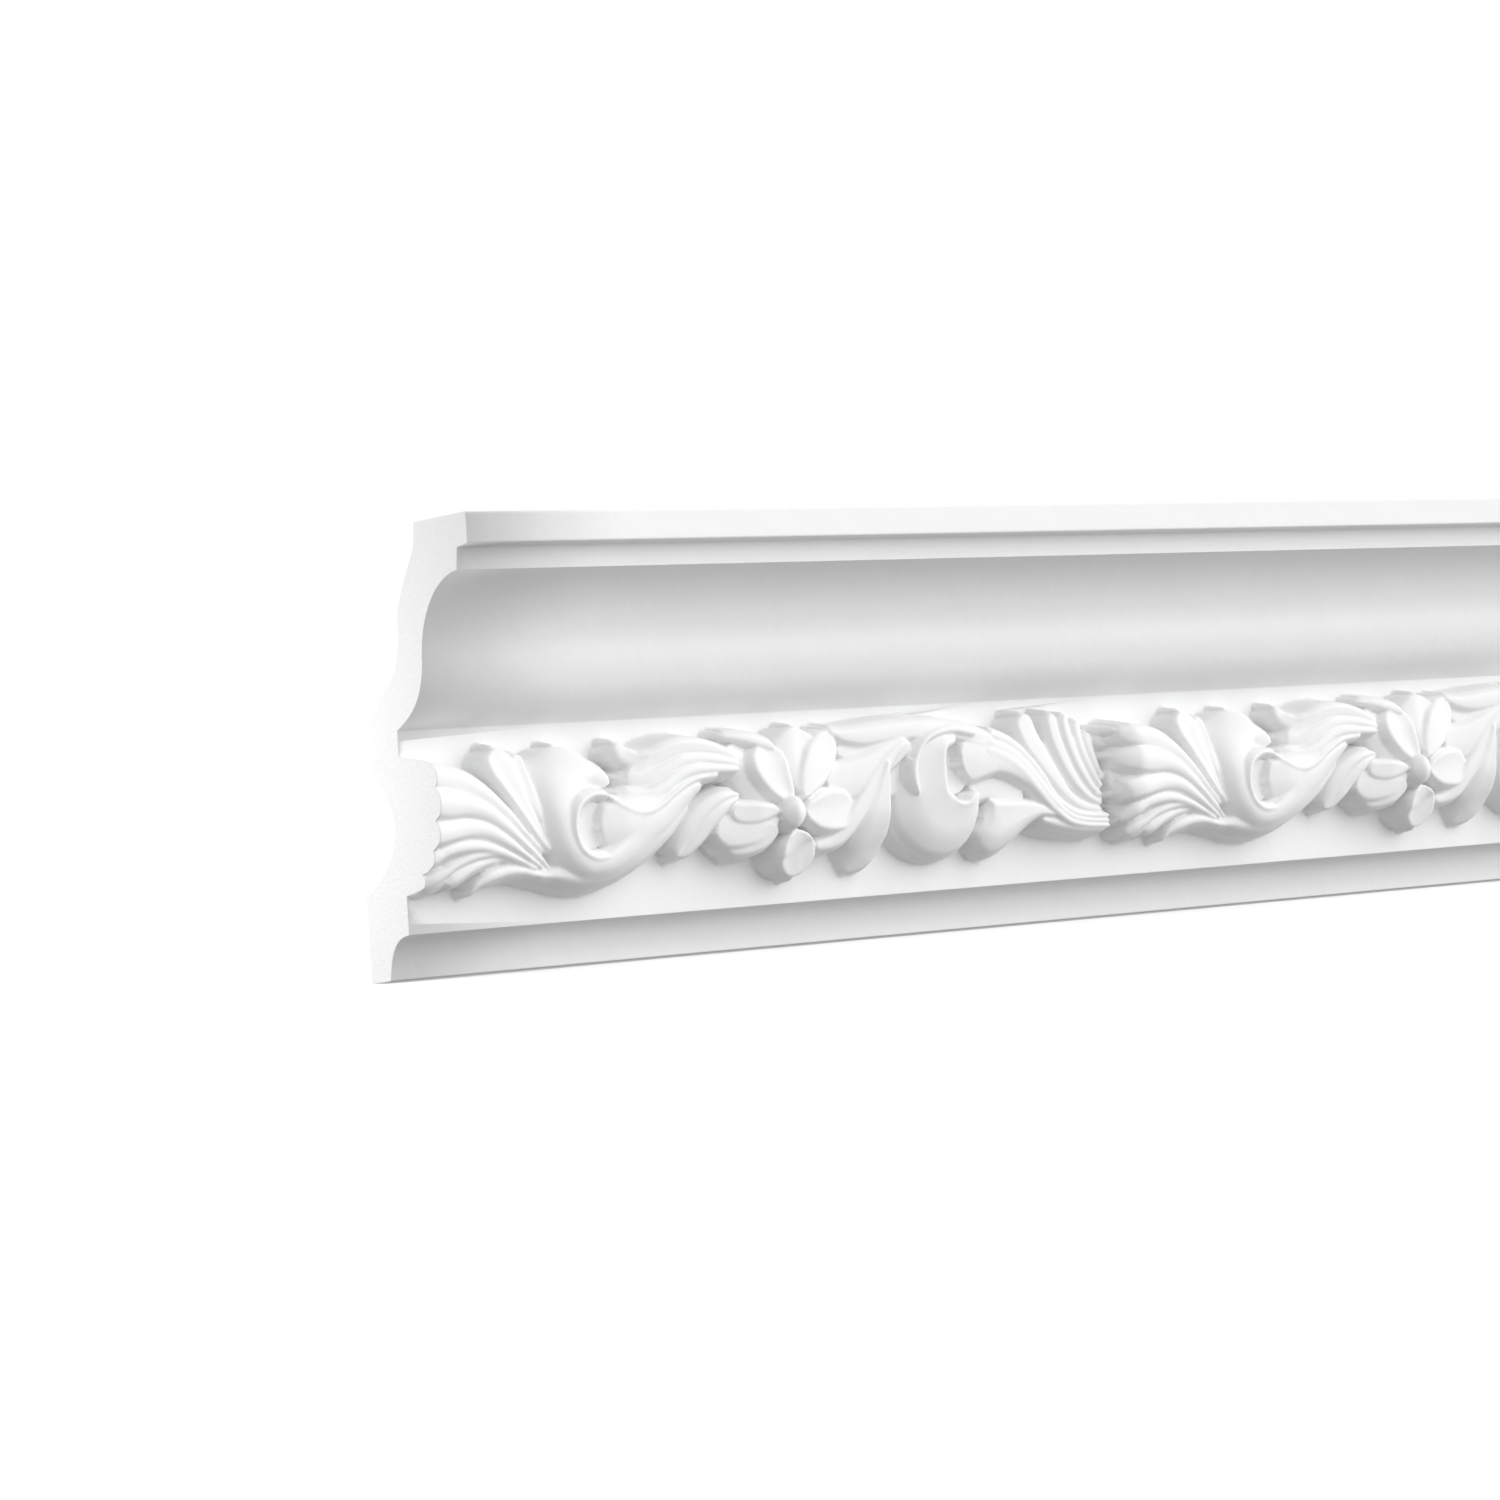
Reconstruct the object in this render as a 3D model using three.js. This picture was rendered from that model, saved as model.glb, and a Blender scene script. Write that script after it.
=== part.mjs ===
// Cornice moulding with a band of acanthus leaves, scrolls and flowers, cast in one piece.
// Millimetres. X runs along the moulding, +Y goes into the wall and +Z is up.
// The origin is the middle of the flat strip that lies on the wall.
import * as THREE from 'three';
import { mergeVertices } from 'three/addons/utils/BufferGeometryUtils.js';

// Driving dimensions
const LENGTH = 404; // from one sawn end to the other
const REPEAT = 202; // length in which the ornament comes round once
const HEIGHT = 100; // foot to ceiling
const DEPTH = 53.6; // wall to the front of the fascia
const WALL_FLAT = 19.1; // height of the strip that lies on the wall
const CEILING_FLAT = 21.6; // depth of the strip that lies on the ceiling
const FASCIA_TALL = 6.7; // upright face at the top
const SOFFIT_DEEP = 4.4; // underside of the fascia, out from the fillet
const SOFFIT_RISE = 0.5; // how far that underside slopes
const FILLET_TALL = 4.3; // narrow band under the fascia
const FILLET_LEAN = 0.7; // how far the fillet leans out
const CYMA_TALL = 33; // double curve between frieze and fillet
const FRIEZE_TALL = 45; // flat band that carries the ornament
const FRIEZE_LEAN = 1.1; // how far the frieze leans out at its top
const FOOT_DEEP = 8.3; // underside
const FOOT_RISE = 0.6; // how far the underside slopes
const COVE_DEEP = 9.3; // hollow between the foot and the frieze
const RELIEF = 17; // highest leaf above the frieze
const WALL_SLOPE = 7; // steepness of the leaves' sides
const SHOULDER = 0.8; // how far a leaf's edge slopes gently before its side drops
const BLEND = 0.6; // how softly neighbouring leaves run into each other

// Fineness of the faceted surface
const CURVE_STEPS = 8; // straight steps in each curve of the profile
const TILES = 5; // squares of relief along one repeat
const TILE_CELLS = 32; // smallest cells across a square, a power of two
const BACK_STEPS = 120; // fine steps that the wavy back is read from
const BACK_ROWS = 4; // rows of the grid between points of the back
const TOLERANCE = 1.15; // how far the facets may leave the carved form

// The ornament is drawn on a sheet of this size and fitted to the frieze
const SHEET = { repeat: 202, foot: 10.5, tall: 45, relief: 17 };

// One leaf: stations of [along, up, half width, height], and how its section bends
function leaf(stations, left, right, more = {}) {
  const plain = { tilt: 0, edge: 0.8, groove: 0, grooveAt: 0, shoulder: 1.5, tip: 1, hollow: false };
  return { stations, left, right, ...plain, ...more };
}

function hollow(stations) {
  return leaf(stations, 0, 0, { hollow: true });
}

// A row of like leaves, each one between the first and the last
function row(count, first, last, left, right) {
  return Array.from({ length: count }, (_, i) => {
    const share = i / (count - 1);
    const stations = first.map((station, j) =>
      station.map((value, k) => THREE.MathUtils.lerp(value, last[j][k], share)));
    return leaf(stations, left, right);
  });
}

function leftSpray() {
  return [
    leaf([[33, 22.5, 0.6, 8], [27, 27, 2.8, 9.2], [21, 30.5, 5.4, 10.6], [14, 33.2, 7.9, 11.8],
      [6, 35, 10, 13.2], [-1, 35.6, 10.6, 12.8], [-7, 35.8, 10.4, 9.6]], -4, -1.2),
    leaf([[-5.3, 46.2, 1.6, 12.6], [-3, 45, 2.2, 15], [-0.1, 44.6, 2.3, 15.6], [4.2, 44, 2.4, 14.4],
      [10, 42.4, 2.3, 13], [15.6, 39.6, 1.7, 12], [21.2, 35.3, 1.3, 11], [25.7, 31, 0.9, 10.2],
      [30.5, 26.8, 0.5, 9]], -1, -0.5),
    leaf([[-6.7, 40, 1.7, 11.6], [-5.1, 39.6, 2.3, 13.8], [-3.2, 39.2, 2.6, 15.4],
      [-0.5, 38.9, 3, 16.6], [3.2, 38.5, 3.1, 16], [9, 37.8, 2.4, 14.6], [15, 35.9, 1.9, 13],
      [20.7, 32.2, 1.35, 11.8], [25.5, 28.4, 0.95, 10.6], [30.4, 24.4, 0.5, 9.2]], -1.1, -0.7),
    leaf([[-6, 30.8, 1.9, 11], [-4.6, 31.1, 2.4, 13.2], [-3, 31.6, 2.6, 14.8],
      [0.5, 32.3, 2.6, 15.6], [5, 32.8, 2.4, 14.6], [9.6, 33, 2.2, 13.6], [15.4, 31.9, 1.8, 12.4],
      [21, 29, 1.3, 11.4], [25.6, 26, 0.9, 10.4], [30, 23.3, 0.5, 9]], -1.1, -0.7),
    leaf([[-4, 24.2, 1.5, 9.6], [-2, 25.9, 1.9, 11.6], [0.1, 27.2, 1.9, 12.8],
      [3.1, 28.4, 1.7, 12.8], [7.2, 29.1, 1.6, 12.6], [12.6, 29, 1.4, 12], [18.1, 27.6, 1.2, 11.2],
      [23.8, 25.3, 1, 10], [28.5, 23, 0.6, 9]], -1.2, -0.5),
    leaf([[-0.5, 20.8, 1.4, 7.6], [1.6, 22.4, 1.6, 9.2], [4.8, 23.9, 1.4, 10],
      [7.5, 25.4, 1.3, 10.4], [11.3, 26.6, 1.2, 10.8], [15.3, 27.1, 1.1, 10.8],
      [19.7, 26.7, 1, 10.2], [24.2, 25, 0.7, 9.4]], -1, -0.6),
    leaf([[5.4, 20.9, 1, 8.2], [7.3, 22.3, 1.6, 9.2], [10.9, 24.2, 1.5, 9.8],
      [14.9, 25.3, 1.2, 9.8], [19.2, 25.6, 0.8, 9.4]], -1.2, -0.5),
    leaf([[12.9, 19, 0.8, 6.8], [14.1, 20.8, 1.2, 7.8], [17, 22.4, 1.6, 8.8], [20.9, 23.3, 1.6, 9],
      [25, 23, 1.3, 9], [28.6, 21.9, 0.9, 8.8], [32.8, 20.9, 0.5, 8.6]], -2, -0.4),
    leaf([[32.3, 27, 0.4, 9], [29.9, 31, 1.1, 9], [26.3, 37.8, 2.1, 8.6], [22.8, 43.9, 3, 8.4],
      [21.2, 46.8, 3.3, 8.1], [20.3, 50.2, 2.9, 7.2]], 0.9, -0.4),
    leaf([[33, 28, 0.4, 8.8], [31.2, 33, 0.8, 8.8], [28.8, 38.8, 1.2, 8.4], [26.6, 44.4, 1.7, 7.8],
      [25.5, 48.6, 1.7, 7]], 0.1, 0.3),
  ];
}

function curledLeaf() {
  return [
    leaf([[40.5, 44, 4.4, 6.6], [45, 43, 3.6, 6], [50, 41, 2.4, 7.8]], -0.6, -0.2, { edge: 1.2 }),
    leaf([[36, 50, 7.6, 7.2], [36, 45, 8.8, 8.6], [35, 40, 6.9, 10.2], [33.9, 35, 4.5, 11.4],
      [34.2, 30, 3.4, 12], [35.8, 25.6, 3.3, 12.4], [39.2, 22.4, 3.5, 12.6],
      [43.5, 21.6, 3.4, 12.6], [48, 22.8, 3.9, 12.8], [54, 26, 4.6, 12.9], [60, 30, 4.4, 13],
      [67, 35.5, 3.2, 12.8], [72, 39, 2.2, 12.4]], -1.8, -3.6, { tilt: 2.2, edge: 1.2 }),
    leaf([[27, 21.4, 0.7, 8], [33, 21.2, 2, 9.2], [38, 20.8, 3, 10.2], [44, 20.9, 3.4, 10.8],
      [50, 22.8, 3.8, 11.2], [56, 26, 4, 11.8], [62, 30, 3.8, 12.2],
      [68, 35, 3, 12]], -0.3, -4, { edge: 1.6 }),
    leaf([[43.8, 31.2, 4.6, 12.2], [46.4, 31.4, 5.2, 13], [51, 31.7, 5.6, 13.9],
      [58, 32.9, 5, 13.8], [63, 35.2, 4.2, 13.2],
      [70, 39.4, 2.6, 12.6]], -0.6, -1.6, { edge: 1.6, tip: 0.45 }),
    leaf([[46.3, 38.2, 0.5, 12.8], [43.1, 38.7, 0.6, 12.8], [40.5, 38, 0.65, 13],
      [38.2, 36.2, 0.6, 13.3], [37.1, 33.5, 0.55, 13.5], [36.9, 30.5, 0.55, 13.6],
      [37.9, 27.2, 0.6, 13.7], [39.7, 25.3, 0.65, 13.8], [42.1, 24.4, 0.7, 13.8],
      [45.1, 24.6, 0.7, 13.5]], -0.5, -0.5),
    leaf([[41.8, 37, 5.4, 9.6], [42.8, 31, 5.8, 9.6],
      [45, 27, 4.6, 9.8]], -0.2, -0.2, { tilt: 1.6 }),
    hollow([[40.4, 39.8, 1, 0.5], [43, 41, 1.3, 1], [46, 41, 1.2, 1], [49, 39.6, 0.9, 0.5]]),
    leaf([[53.1, 42.6, 2.4, 9.8], [57.5, 41.5, 4.4, 10.8], [62.5, 42, 5.2, 10.8],
      [70.1, 44, 4.4, 11.4], [80.2, 43.8, 2.4, 12]], -0.2, -0.2),
    leaf([[52.4, 50, 1.4, 7.2], [53.7, 47, 1.9, 8.6], [56.8, 45.2, 2.1, 10.2],
      [60.2, 45.5, 2.1, 11.2], [64.8, 47.1, 2.1, 11.8], [69.5, 47.7, 1.9, 12.2],
      [74.3, 47.2, 1.6, 12.6], [79.1, 45.8, 1.2, 12.8], [82.1, 44.4, 0.8, 12.8]], 0.1, -0.8),
    leaf([[51.7, 42.2, 1.2, 8], [53.8, 41.4, 1.7, 10.2], [57.9, 41.1, 1.9, 11.6],
      [62.4, 42.6, 1.9, 12.4], [67.1, 44.6, 1.7, 12.8], [72, 45, 1.5, 13], [76.9, 44.5, 1.3, 13.2],
      [82.5, 43.4, 1.1, 13]], -0.4, -0.8),
    leaf([[49.9, 38.9, 1.2, 9.4], [51.9, 37.8, 1.7, 11.6], [57, 37.2, 1.9, 13],
      [61.2, 38.9, 1.8, 13.4], [65.7, 41.4, 1.6, 13.4], [70.6, 42.7, 1.4, 13.6],
      [75.7, 42.6, 1.2, 13.5], [82.3, 42.2, 1, 13.2]], -0.4, -0.8),
    leaf([[47.2, 37.6, 0.6, 12.4], [49.6, 35.7, 0.7, 13.6], [52.8, 34.2, 0.7, 14],
      [56.2, 34, 0.7, 14.2], [60.3, 35.6, 0.7, 14], [64.5, 38.3, 0.7, 13.8],
      [69.6, 40.6, 0.7, 13.6], [75.7, 41.3, 0.7, 13.4]], -0.6, -0.5),
    leaf([[83.3, 36.4, 1, 11.2], [78.6, 35.2, 2.7, 11.2], [74.5, 32.3, 3.5, 10.4],
      [71.3, 28.2, 3.4, 9], [69.4, 25.2, 2.6, 7.6],
      [68.3, 23.2, 1.5, 6.6]], -0.4, -1.2, { groove: 0.5, grooveAt: 0.1 }),
  ];
}

function flower() {
  return [
    leaf([[81.9, 50.2, 0.8, 7.4], [86.1, 49.4, 1.4, 8.6], [90.5, 48.2, 1.6, 9.4],
      [94.5, 46.6, 1.4, 10.2]], -0.3, -2),
    leaf([[83, 47.5, 3, 7], [87.5, 43, 4.4, 8], [91, 38, 4.6, 9], [95, 33, 4, 10]], -1.5, -3),
    leaf([[93.6, 30.2, 2.4, 11.6], [88, 29.2, 4.2, 11], [82.5, 28.5, 4.4, 9.7],
      [77.8, 28, 3.2, 8.4]], -0.5, -0.7, { edge: 1.2 }),
    leaf([[97, 34.3, 1.4, 12.2], [94.6, 38.2, 3.4, 11.6], [92.9, 42.3, 4.5, 10.8],
      [92.3, 45.3, 4.3, 9.8], [92, 48.2, 3.3, 8.8]], 0.4, 0.9, { edge: 1.1 }),
    leaf([[100.5, 36, 1.6, 12], [101.2, 41, 4, 10.6], [101.8, 46, 5.9, 9.2],
      [102.2, 51.4, 5.9, 7.8]], -3, 1, { edge: 1.2 }),
    leaf([[100.8, 35, 1, 12.4], [103.2, 39, 3.2, 12], [106.5, 43, 4.2, 11.2],
      [108.8, 46.2, 3.8, 10.2], [110.8, 50, 2.7, 9.2]], -0.6, 0.6, { edge: 1.1 }),
    leaf([[100.8, 31.8, 1.4, 12.4], [105.1, 31.4, 4, 12.2], [110, 31.4, 4.8, 11.6],
      [116.3, 31.2, 4.2, 10.4]], 0.7, 0.3, { edge: 1.1 }),
    leaf([[99.1, 27.6, 1.8, 11.4], [99.3, 24.6, 4.4, 10.4], [100.1, 21.6, 5.2, 8.6],
      [100.5, 16.6, 4.8, 6.4]], 0.9, 1.3, { edge: 1.1 }),
    leaf([[93.4, 32.2, 0.9, 12.4], [88.7, 31.9, 2.1, 12], [84.9, 32, 2.3, 11],
      [81.5, 32.6, 1.8, 10]], -0.3, 0.3),
    leaf([[93.4, 27.9, 1.4, 11.6], [89.2, 26.7, 3.2, 10.6], [85.1, 25.5, 3.1, 9.2],
      [81, 24.9, 2.4, 7.6]], -0.5, 0.4),
    leaf([[93.6, 31.8, 3.8, 13.2], [96.9, 31.6, 3.9, 15.8],
      [100.2, 31.4, 3.8, 13.2]], -2.2, -2.2, { edge: 1 }),
  ];
}

function dropScroll() {
  return [
    leaf([[108.7, 38, 3.4, 10.6], [114.3, 38, 4.2, 11.2], [121, 40, 4, 11.6],
      [126.9, 43.2, 3.2, 11.8], [132.8, 46, 2, 12]], -0.5, -0.8),
    leaf([[105.1, 23.5, 1.4, 9.4], [109.2, 24, 1.7, 10], [112.6, 25.8, 2, 10.8],
      [116, 29.6, 2.2, 11.6], [119.7, 34.4, 2.2, 12], [123.6, 39.5, 2, 12.2],
      [127.5, 43.6, 1.5, 12.4], [131.5, 46.4, 1, 12.4]], -0.5, -0.5),
    leaf([[125.3, 41.8, 0.7, 12.8], [123.5, 36, 2.4, 12.6], [121.8, 30.4, 4.1, 12],
      [121, 25.4, 4.8, 9.8], [120.3, 20.8, 4.2, 6.4], [118.6, 16.6, 2.2, 2.6]], 0.2, -1.8),
    leaf([[113.4, 45.6, 1.4, 8.4], [119, 44.6, 2.6, 9], [124.4, 45.6, 2.6, 9.8],
      [130.8, 47.6, 1.8, 10.6]], -0.4, -0.4),
    leaf([[111, 50, 0.9, 9.6], [115.1, 48.7, 1.6, 10.2], [120.6, 48.4, 2.2, 10.8],
      [128.4, 49, 2.2, 11.2], [136.1, 49.2, 2.1, 11.6], [143.8, 48.7, 2.1, 12],
      [150.5, 47.4, 2.1, 12.4], [157.3, 45, 2, 12.6]], -0.5, -0.3),
    leaf([[127.5, 34, 3, 8.6], [129.6, 39, 3.4, 9.2], [132.4, 43.6, 3, 10]], -0.6, -0.6),
    leaf([[146, 47.6, 1.8, 12.4], [141.9, 47.2, 2.8, 12.6], [138.9, 45.4, 4.2, 12.6],
      [136.8, 42, 5.4, 12.4], [136, 37.3, 6.2, 12.2], [136, 32.9, 6.8, 12],
      [137.5, 29.3, 7.2, 11.8], [140.7, 26.7, 7.4, 11.6], [144.6, 25.6, 7.1, 11.6],
      [148.5, 26.6, 6, 11.8], [151.3, 29.4, 4, 12],
      [152.5, 33.4, 1.8, 12.2]], 0.2, -3, { tilt: 1.8, edge: 1.4 }),
    leaf([[134.3, 34.2, 0.5, 12.6], [133, 38, 0.7, 13.2], [133.5, 42, 0.8, 13.4],
      [136.2, 46, 0.9, 13.4], [140.2, 48, 1, 13.4], [145.7, 48.6, 1.1, 13.4],
      [151.8, 47.4, 1.2, 13.2]], -0.5, -0.9),
    leaf([[147.2, 46.5, 4, 8], [146.6, 40, 4.4, 8.2], [147.6, 33, 4.4, 8.4]], 0, 0, { tilt: 1.6 }),
    leaf([[147.8, 40.4, 5, 12.2], [150.4, 41, 5, 12.5], [154.2, 41.4, 4.6, 12.8],
      [159.2, 41.2, 3.6, 12.8], [165.3, 38.4, 2.5, 12.6], [171.8, 33.6, 1.8, 12],
      [178.3, 28.6, 1.1, 11.4]], -0.6, -0.6, { tip: 0.6 }),
    ...row(3,
      [[156.5, 47.2, 1.3, 12.4], [162.5, 44.8, 1.5, 12.4], [167.6, 41.4, 1.4, 12.2],
        [172.3, 36.6, 1.3, 12], [177.3, 30.8, 1.1, 11.4], [182.8, 27.2, 1, 10.8],
        [188.3, 26, 0.9, 10.2], [194.7, 25.6, 0.8, 9.8]],
      [[155.2, 43.4, 1.4, 12.8], [161.2, 41.2, 1.5, 12.8], [166.3, 37.8, 1.4, 12.6],
        [171.1, 33.2, 1.3, 12.2], [176.1, 28.6, 1.1, 11.6], [181.8, 25, 1, 10.8],
        [188, 23.7, 0.9, 10], [194.9, 23.2, 0.8, 9.6]],
      -0.5, -0.8),
    leaf([[152, 34.2, 3.6, 8.8], [159, 34.6, 3.2, 9.2], [168, 31.2, 2.4, 9.6]], -0.4, -0.4),
    leaf([[179, 26.4, 0.8, 10.6], [172.6, 27.6, 2.2, 11], [167.3, 26.8, 4.2, 10.8],
      [162.5, 25.4, 5.8, 10.5], [158.5, 24.6, 6.7, 9.9], [155.6, 24.9, 6, 8.4],
      [154.8, 25.2, 4.8, 6.6]], -3.6, 0.3, { edge: 1.6 }),
    leaf([[173.6, 25.8, 1, 9.8], [178.6, 24.7, 1.4, 9.8], [186, 23.4, 1.5, 9.4],
      [194.4, 22.9, 1.4, 9]], -0.3, -1.2),
  ];
}

function rightSpray() {
  return [
    leaf([[194, 29, 1, 8.2], [186.8, 36, 4.5, 8.4], [181.9, 42.6, 6.2, 7.6],
      [180.7, 46.4, 6.2, 6.8]], 0, 0),
    leaf([[192.8, 27.2, 0.91, 9.6], [187.2, 28.5, 1.14, 9.8], [182.5, 31.4, 1.37, 10],
      [178.7, 35.9, 1.82, 10], [175.1, 41.3, 2.28, 9.6], [172.2, 46, 2.74, 9],
      [170.5, 51.6, 2.74, 8.2]], 0, -0.7),
    leaf([[193, 28.9, 0.8, 9.4], [189.8, 30.3, 0.91, 9.6], [186.7, 32.9, 1.14, 9.8],
      [183.6, 37.1, 1.48, 9.8], [181.4, 41.9, 1.71, 9.4], [180.1, 46, 1.82, 9],
      [179.5, 51.4, 1.82, 8.2]], 0, -0.7),
    leaf([[193.2, 31, 0.68, 9.2], [190.5, 33, 0.91, 9.4], [187.6, 37, 1.14, 9.6],
      [185.4, 41.8, 1.25, 9.2], [184.1, 46.5, 1.37, 8.8], [183.8, 50.8, 1.25, 8.2]], 0, -0.6),
    leaf([[193.7, 33, 0.68, 9], [192, 35, 0.91, 9.2], [189.5, 39.8, 1.14, 9],
      [188.2, 44.6, 1.25, 8.4], [187.9, 49.2, 1.25, 7.6]], 0, -0.6),
    leaf([[194.7, 35, 0.68, 8.6], [193.2, 38, 1.03, 8.4], [192.3, 42, 1.25, 7.6],
      [192.1, 46.2, 1.48, 6.6]], 0, -0.8),
    leaf([[202.3, 43.6, 1.8, 12.6], [198.9, 43.6, 1.8, 10.8], [196.3, 43.8, 1.7, 8.6],
      [194.1, 44.4, 1.5, 6.4]], -0.5, -0.8),
    leaf([[201.2, 36.4, 2.2, 12.8], [198.9, 36.4, 2.4, 11.4], [196.9, 36.6, 2.4, 9.6],
      [195.2, 37, 2, 8]], -0.5, -0.8),
    leaf([[201.5, 29.6, 3.8, 12.4], [199.4, 29, 4.2, 10.8], [197.9, 28.4, 4, 8.8],
      [196.7, 28.2, 3.2, 7.2]], -0.9, -0.8),
    leaf([[206.9, 23.4, 2.6, 9.6], [203.7, 22.4, 2.6, 8], [201.1, 22, 2.2, 6.2]], -0.9, -0.6),
  ];
}

// A leaf's spine: its stations joined by a smooth curve and cut into short steps
const SPINE_STEPS = 48;
const CREASE_WIDTH = 0.22;

function smoothAt(stations, place) {
  const last = stations.length - 1;
  const k = Math.min(Math.floor(place), last - 1);
  const [a, b, c, d] = [k - 1, k, k + 1, k + 2].map((i) => stations[THREE.MathUtils.clamp(i, 0, last)]);
  const t = place - k;
  return b.map((_, j) => 0.5 * (2 * b[j] + (c[j] - a[j]) * t
    + (2 * a[j] - 5 * b[j] + 4 * c[j] - d[j]) * t ** 2
    + (3 * b[j] - a[j] - 3 * c[j] + d[j]) * t ** 3));
}

function spineOf({ stations, tip }) {
  const points = Array.from({ length: SPINE_STEPS + 1 }, (_, i) =>
    smoothAt(stations, (stations.length - 1) * i / SPINE_STEPS));
  let run = 0;
  const spine = points.map(([along, up, full, high], i) => {
    const [before, after] = [points[Math.max(i - 1, 0)], points[Math.min(i + 1, SPINE_STEPS)]];
    const ahead = new THREE.Vector2(after[0] - before[0], after[1] - before[1]);
    const step = ahead.length() / (i === 0 || i === SPINE_STEPS ? 1 : 2);
    run += i === 0 ? 0 : step;
    return { along, up, full, high, ahead: ahead.normalize(), step, run };
  });
  return spine.map((s) => {
    const fromEnd = Math.min(s.run / spine[0].full, (run - s.run) / spine.at(-1).full);
    const rounded = Math.sqrt(1 - THREE.MathUtils.clamp(1 - fromEnd / tip, 0, 1) ** 2);
    return { ...s, wide: Math.max(s.full * rounded, 0.1) };
  });
}

function prepare(piece) {
  const spine = spineOf(piece);
  const widest = Math.max(...spine.map((s) => s.full));
  const reach = piece.hollow ? widest * 3 : widest + SHEET.relief / WALL_SLOPE + 1;
  const box = new THREE.Box2();
  spine.forEach((s) => box.expandByPoint(new THREE.Vector2(s.along, s.up)));
  return { ...piece, spine, box: box.expandByScalar(reach) };
}

function nearest(spine, along, up) {
  let [k, far] = [0, Infinity];
  spine.forEach((s, i) => {
    const here = (s.along - along) ** 2 + (s.up - up) ** 2;
    if (here < far) [k, far] = [i, here];
  });
  return { k, far };
}

function between(spine, place, name) {
  const i = Math.min(Math.floor(place), SPINE_STEPS - 1);
  return THREE.MathUtils.lerp(spine[i][name], spine[i + 1][name], place - i);
}

// Height of one leaf over a point of the sheet, falling steeply away outside it
function leafHeight(piece, along, up) {
  const { spine } = piece;
  const { k } = nearest(spine, along, up);
  const s = spine[k];
  const [right, above] = [along - s.along, up - s.up];
  const forward = right * s.ahead.x + above * s.ahead.y;
  const aside = above * s.ahead.x - right * s.ahead.y;
  const place = THREE.MathUtils.clamp(k + forward / s.step, 0, SPINE_STEPS);
  const [wide, full] = [between(spine, place, 'wide'), between(spine, place, 'full')];
  const past = (k === 0 && forward < 0) || (k === SPINE_STEPS && forward > 0) ? forward : 0;
  const off = Math.hypot(past, Math.max(Math.abs(aside) - wide, 0));
  const across = THREE.MathUtils.clamp(aside / full, -1, 1);
  const bend = (across > 0 ? piece.left : piece.right) * across ** 2 + piece.tilt * across;
  const crease = piece.groove * Math.exp(-(((across - piece.grooveAt) / CREASE_WIDTH) ** 2));
  const rim = THREE.MathUtils.clamp((Math.abs(aside) - wide + piece.edge) / piece.edge, 0, 0.98);
  const rounding = full > piece.edge ? piece.edge * (1 - Math.sqrt(1 - rim ** 2)) : 0;
  const fall = piece.shoulder * Math.min(off, SHOULDER) + WALL_SLOPE * Math.max(off - SHOULDER, 0);
  return between(spine, place, 'high') + bend - crease - rounding - fall;
}

function hollowDepth(piece, along, up) {
  const { k, far } = nearest(piece.spine, along, up);
  const s = piece.spine[k];
  return s.high * Math.exp(-far / s.full ** 2);
}

// The greater of two heights, rounded over where they are close
function softMax(a, b) {
  const share = THREE.MathUtils.clamp(0.5 + 0.5 * (a - b) / BLEND, 0, 1);
  return b + (a - b) * share + BLEND * share * (1 - share);
}

const pieces = [leftSpray(), curledLeaf(), flower(), dropScroll(), rightSpray()].flat().map(prepare);

// Height of the whole ornament over a point of the sheet, at least nothing
function ornament(along, up) {
  let height = 0;
  for (const piece of pieces) {
    for (const turn of [-SHEET.repeat, 0, SHEET.repeat]) {
      const here = new THREE.Vector2(along - turn, up);
      if (!piece.box.containsPoint(here)) continue;
      height = piece.hollow
        ? Math.max(0, height - hollowDepth(piece, here.x, here.y))
        : softMax(height, leafHeight(piece, here.x, here.y));
    }
  }
  return height;
}

// The profile in (out from the wall, up from the foot), round from the foot at the wall
const friezeFoot = { out: FOOT_DEEP + COVE_DEEP, up: HEIGHT - FASCIA_TALL - SOFFIT_RISE
  - FILLET_TALL - CYMA_TALL - FRIEZE_TALL };
const friezeHead = { out: friezeFoot.out + FRIEZE_LEAN, up: friezeFoot.up + FRIEZE_TALL };
const filletHead = { out: DEPTH - SOFFIT_DEEP, up: HEIGHT - FASCIA_TALL - SOFFIT_RISE };
const filletFoot = { out: filletHead.out - FILLET_LEAN, up: filletHead.up - FILLET_TALL };

function frontBelow() {
  const path = new THREE.Path();
  path.moveTo(0, 0);
  path.lineTo(FOOT_DEEP, FOOT_RISE);
  path.bezierCurveTo(FOOT_DEEP + 1, friezeFoot.up * 0.67, FOOT_DEEP + COVE_DEEP * 0.4,
    friezeFoot.up * 0.97, friezeFoot.out, friezeFoot.up);
  return path.getPoints(CURVE_STEPS);
}

function frontAbove() {
  const waist = { out: THREE.MathUtils.lerp(friezeHead.out, filletFoot.out, 0.43),
    up: THREE.MathUtils.lerp(friezeHead.up, filletFoot.up, 0.47) };
  const rise = filletFoot.up - friezeHead.up;
  const path = new THREE.Path();
  path.moveTo(friezeHead.out, friezeHead.up);
  path.bezierCurveTo(friezeHead.out + rise * 0.24, friezeHead.up + rise * 0.09,
    waist.out - 0.6, friezeHead.up + rise * 0.21, waist.out, waist.up);
  path.bezierCurveTo(waist.out + 0.6, waist.up + rise * 0.24,
    waist.out + rise * 0.21, filletFoot.up - 1.2, filletFoot.out, filletFoot.up - SOFFIT_RISE);
  path.lineTo(filletFoot.out, filletFoot.up);
  path.lineTo(filletHead.out, filletHead.up);
  path.lineTo(DEPTH, HEIGHT - FASCIA_TALL);
  path.lineTo(DEPTH, HEIGHT);
  return path.getPoints(CURVE_STEPS);
}

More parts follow.
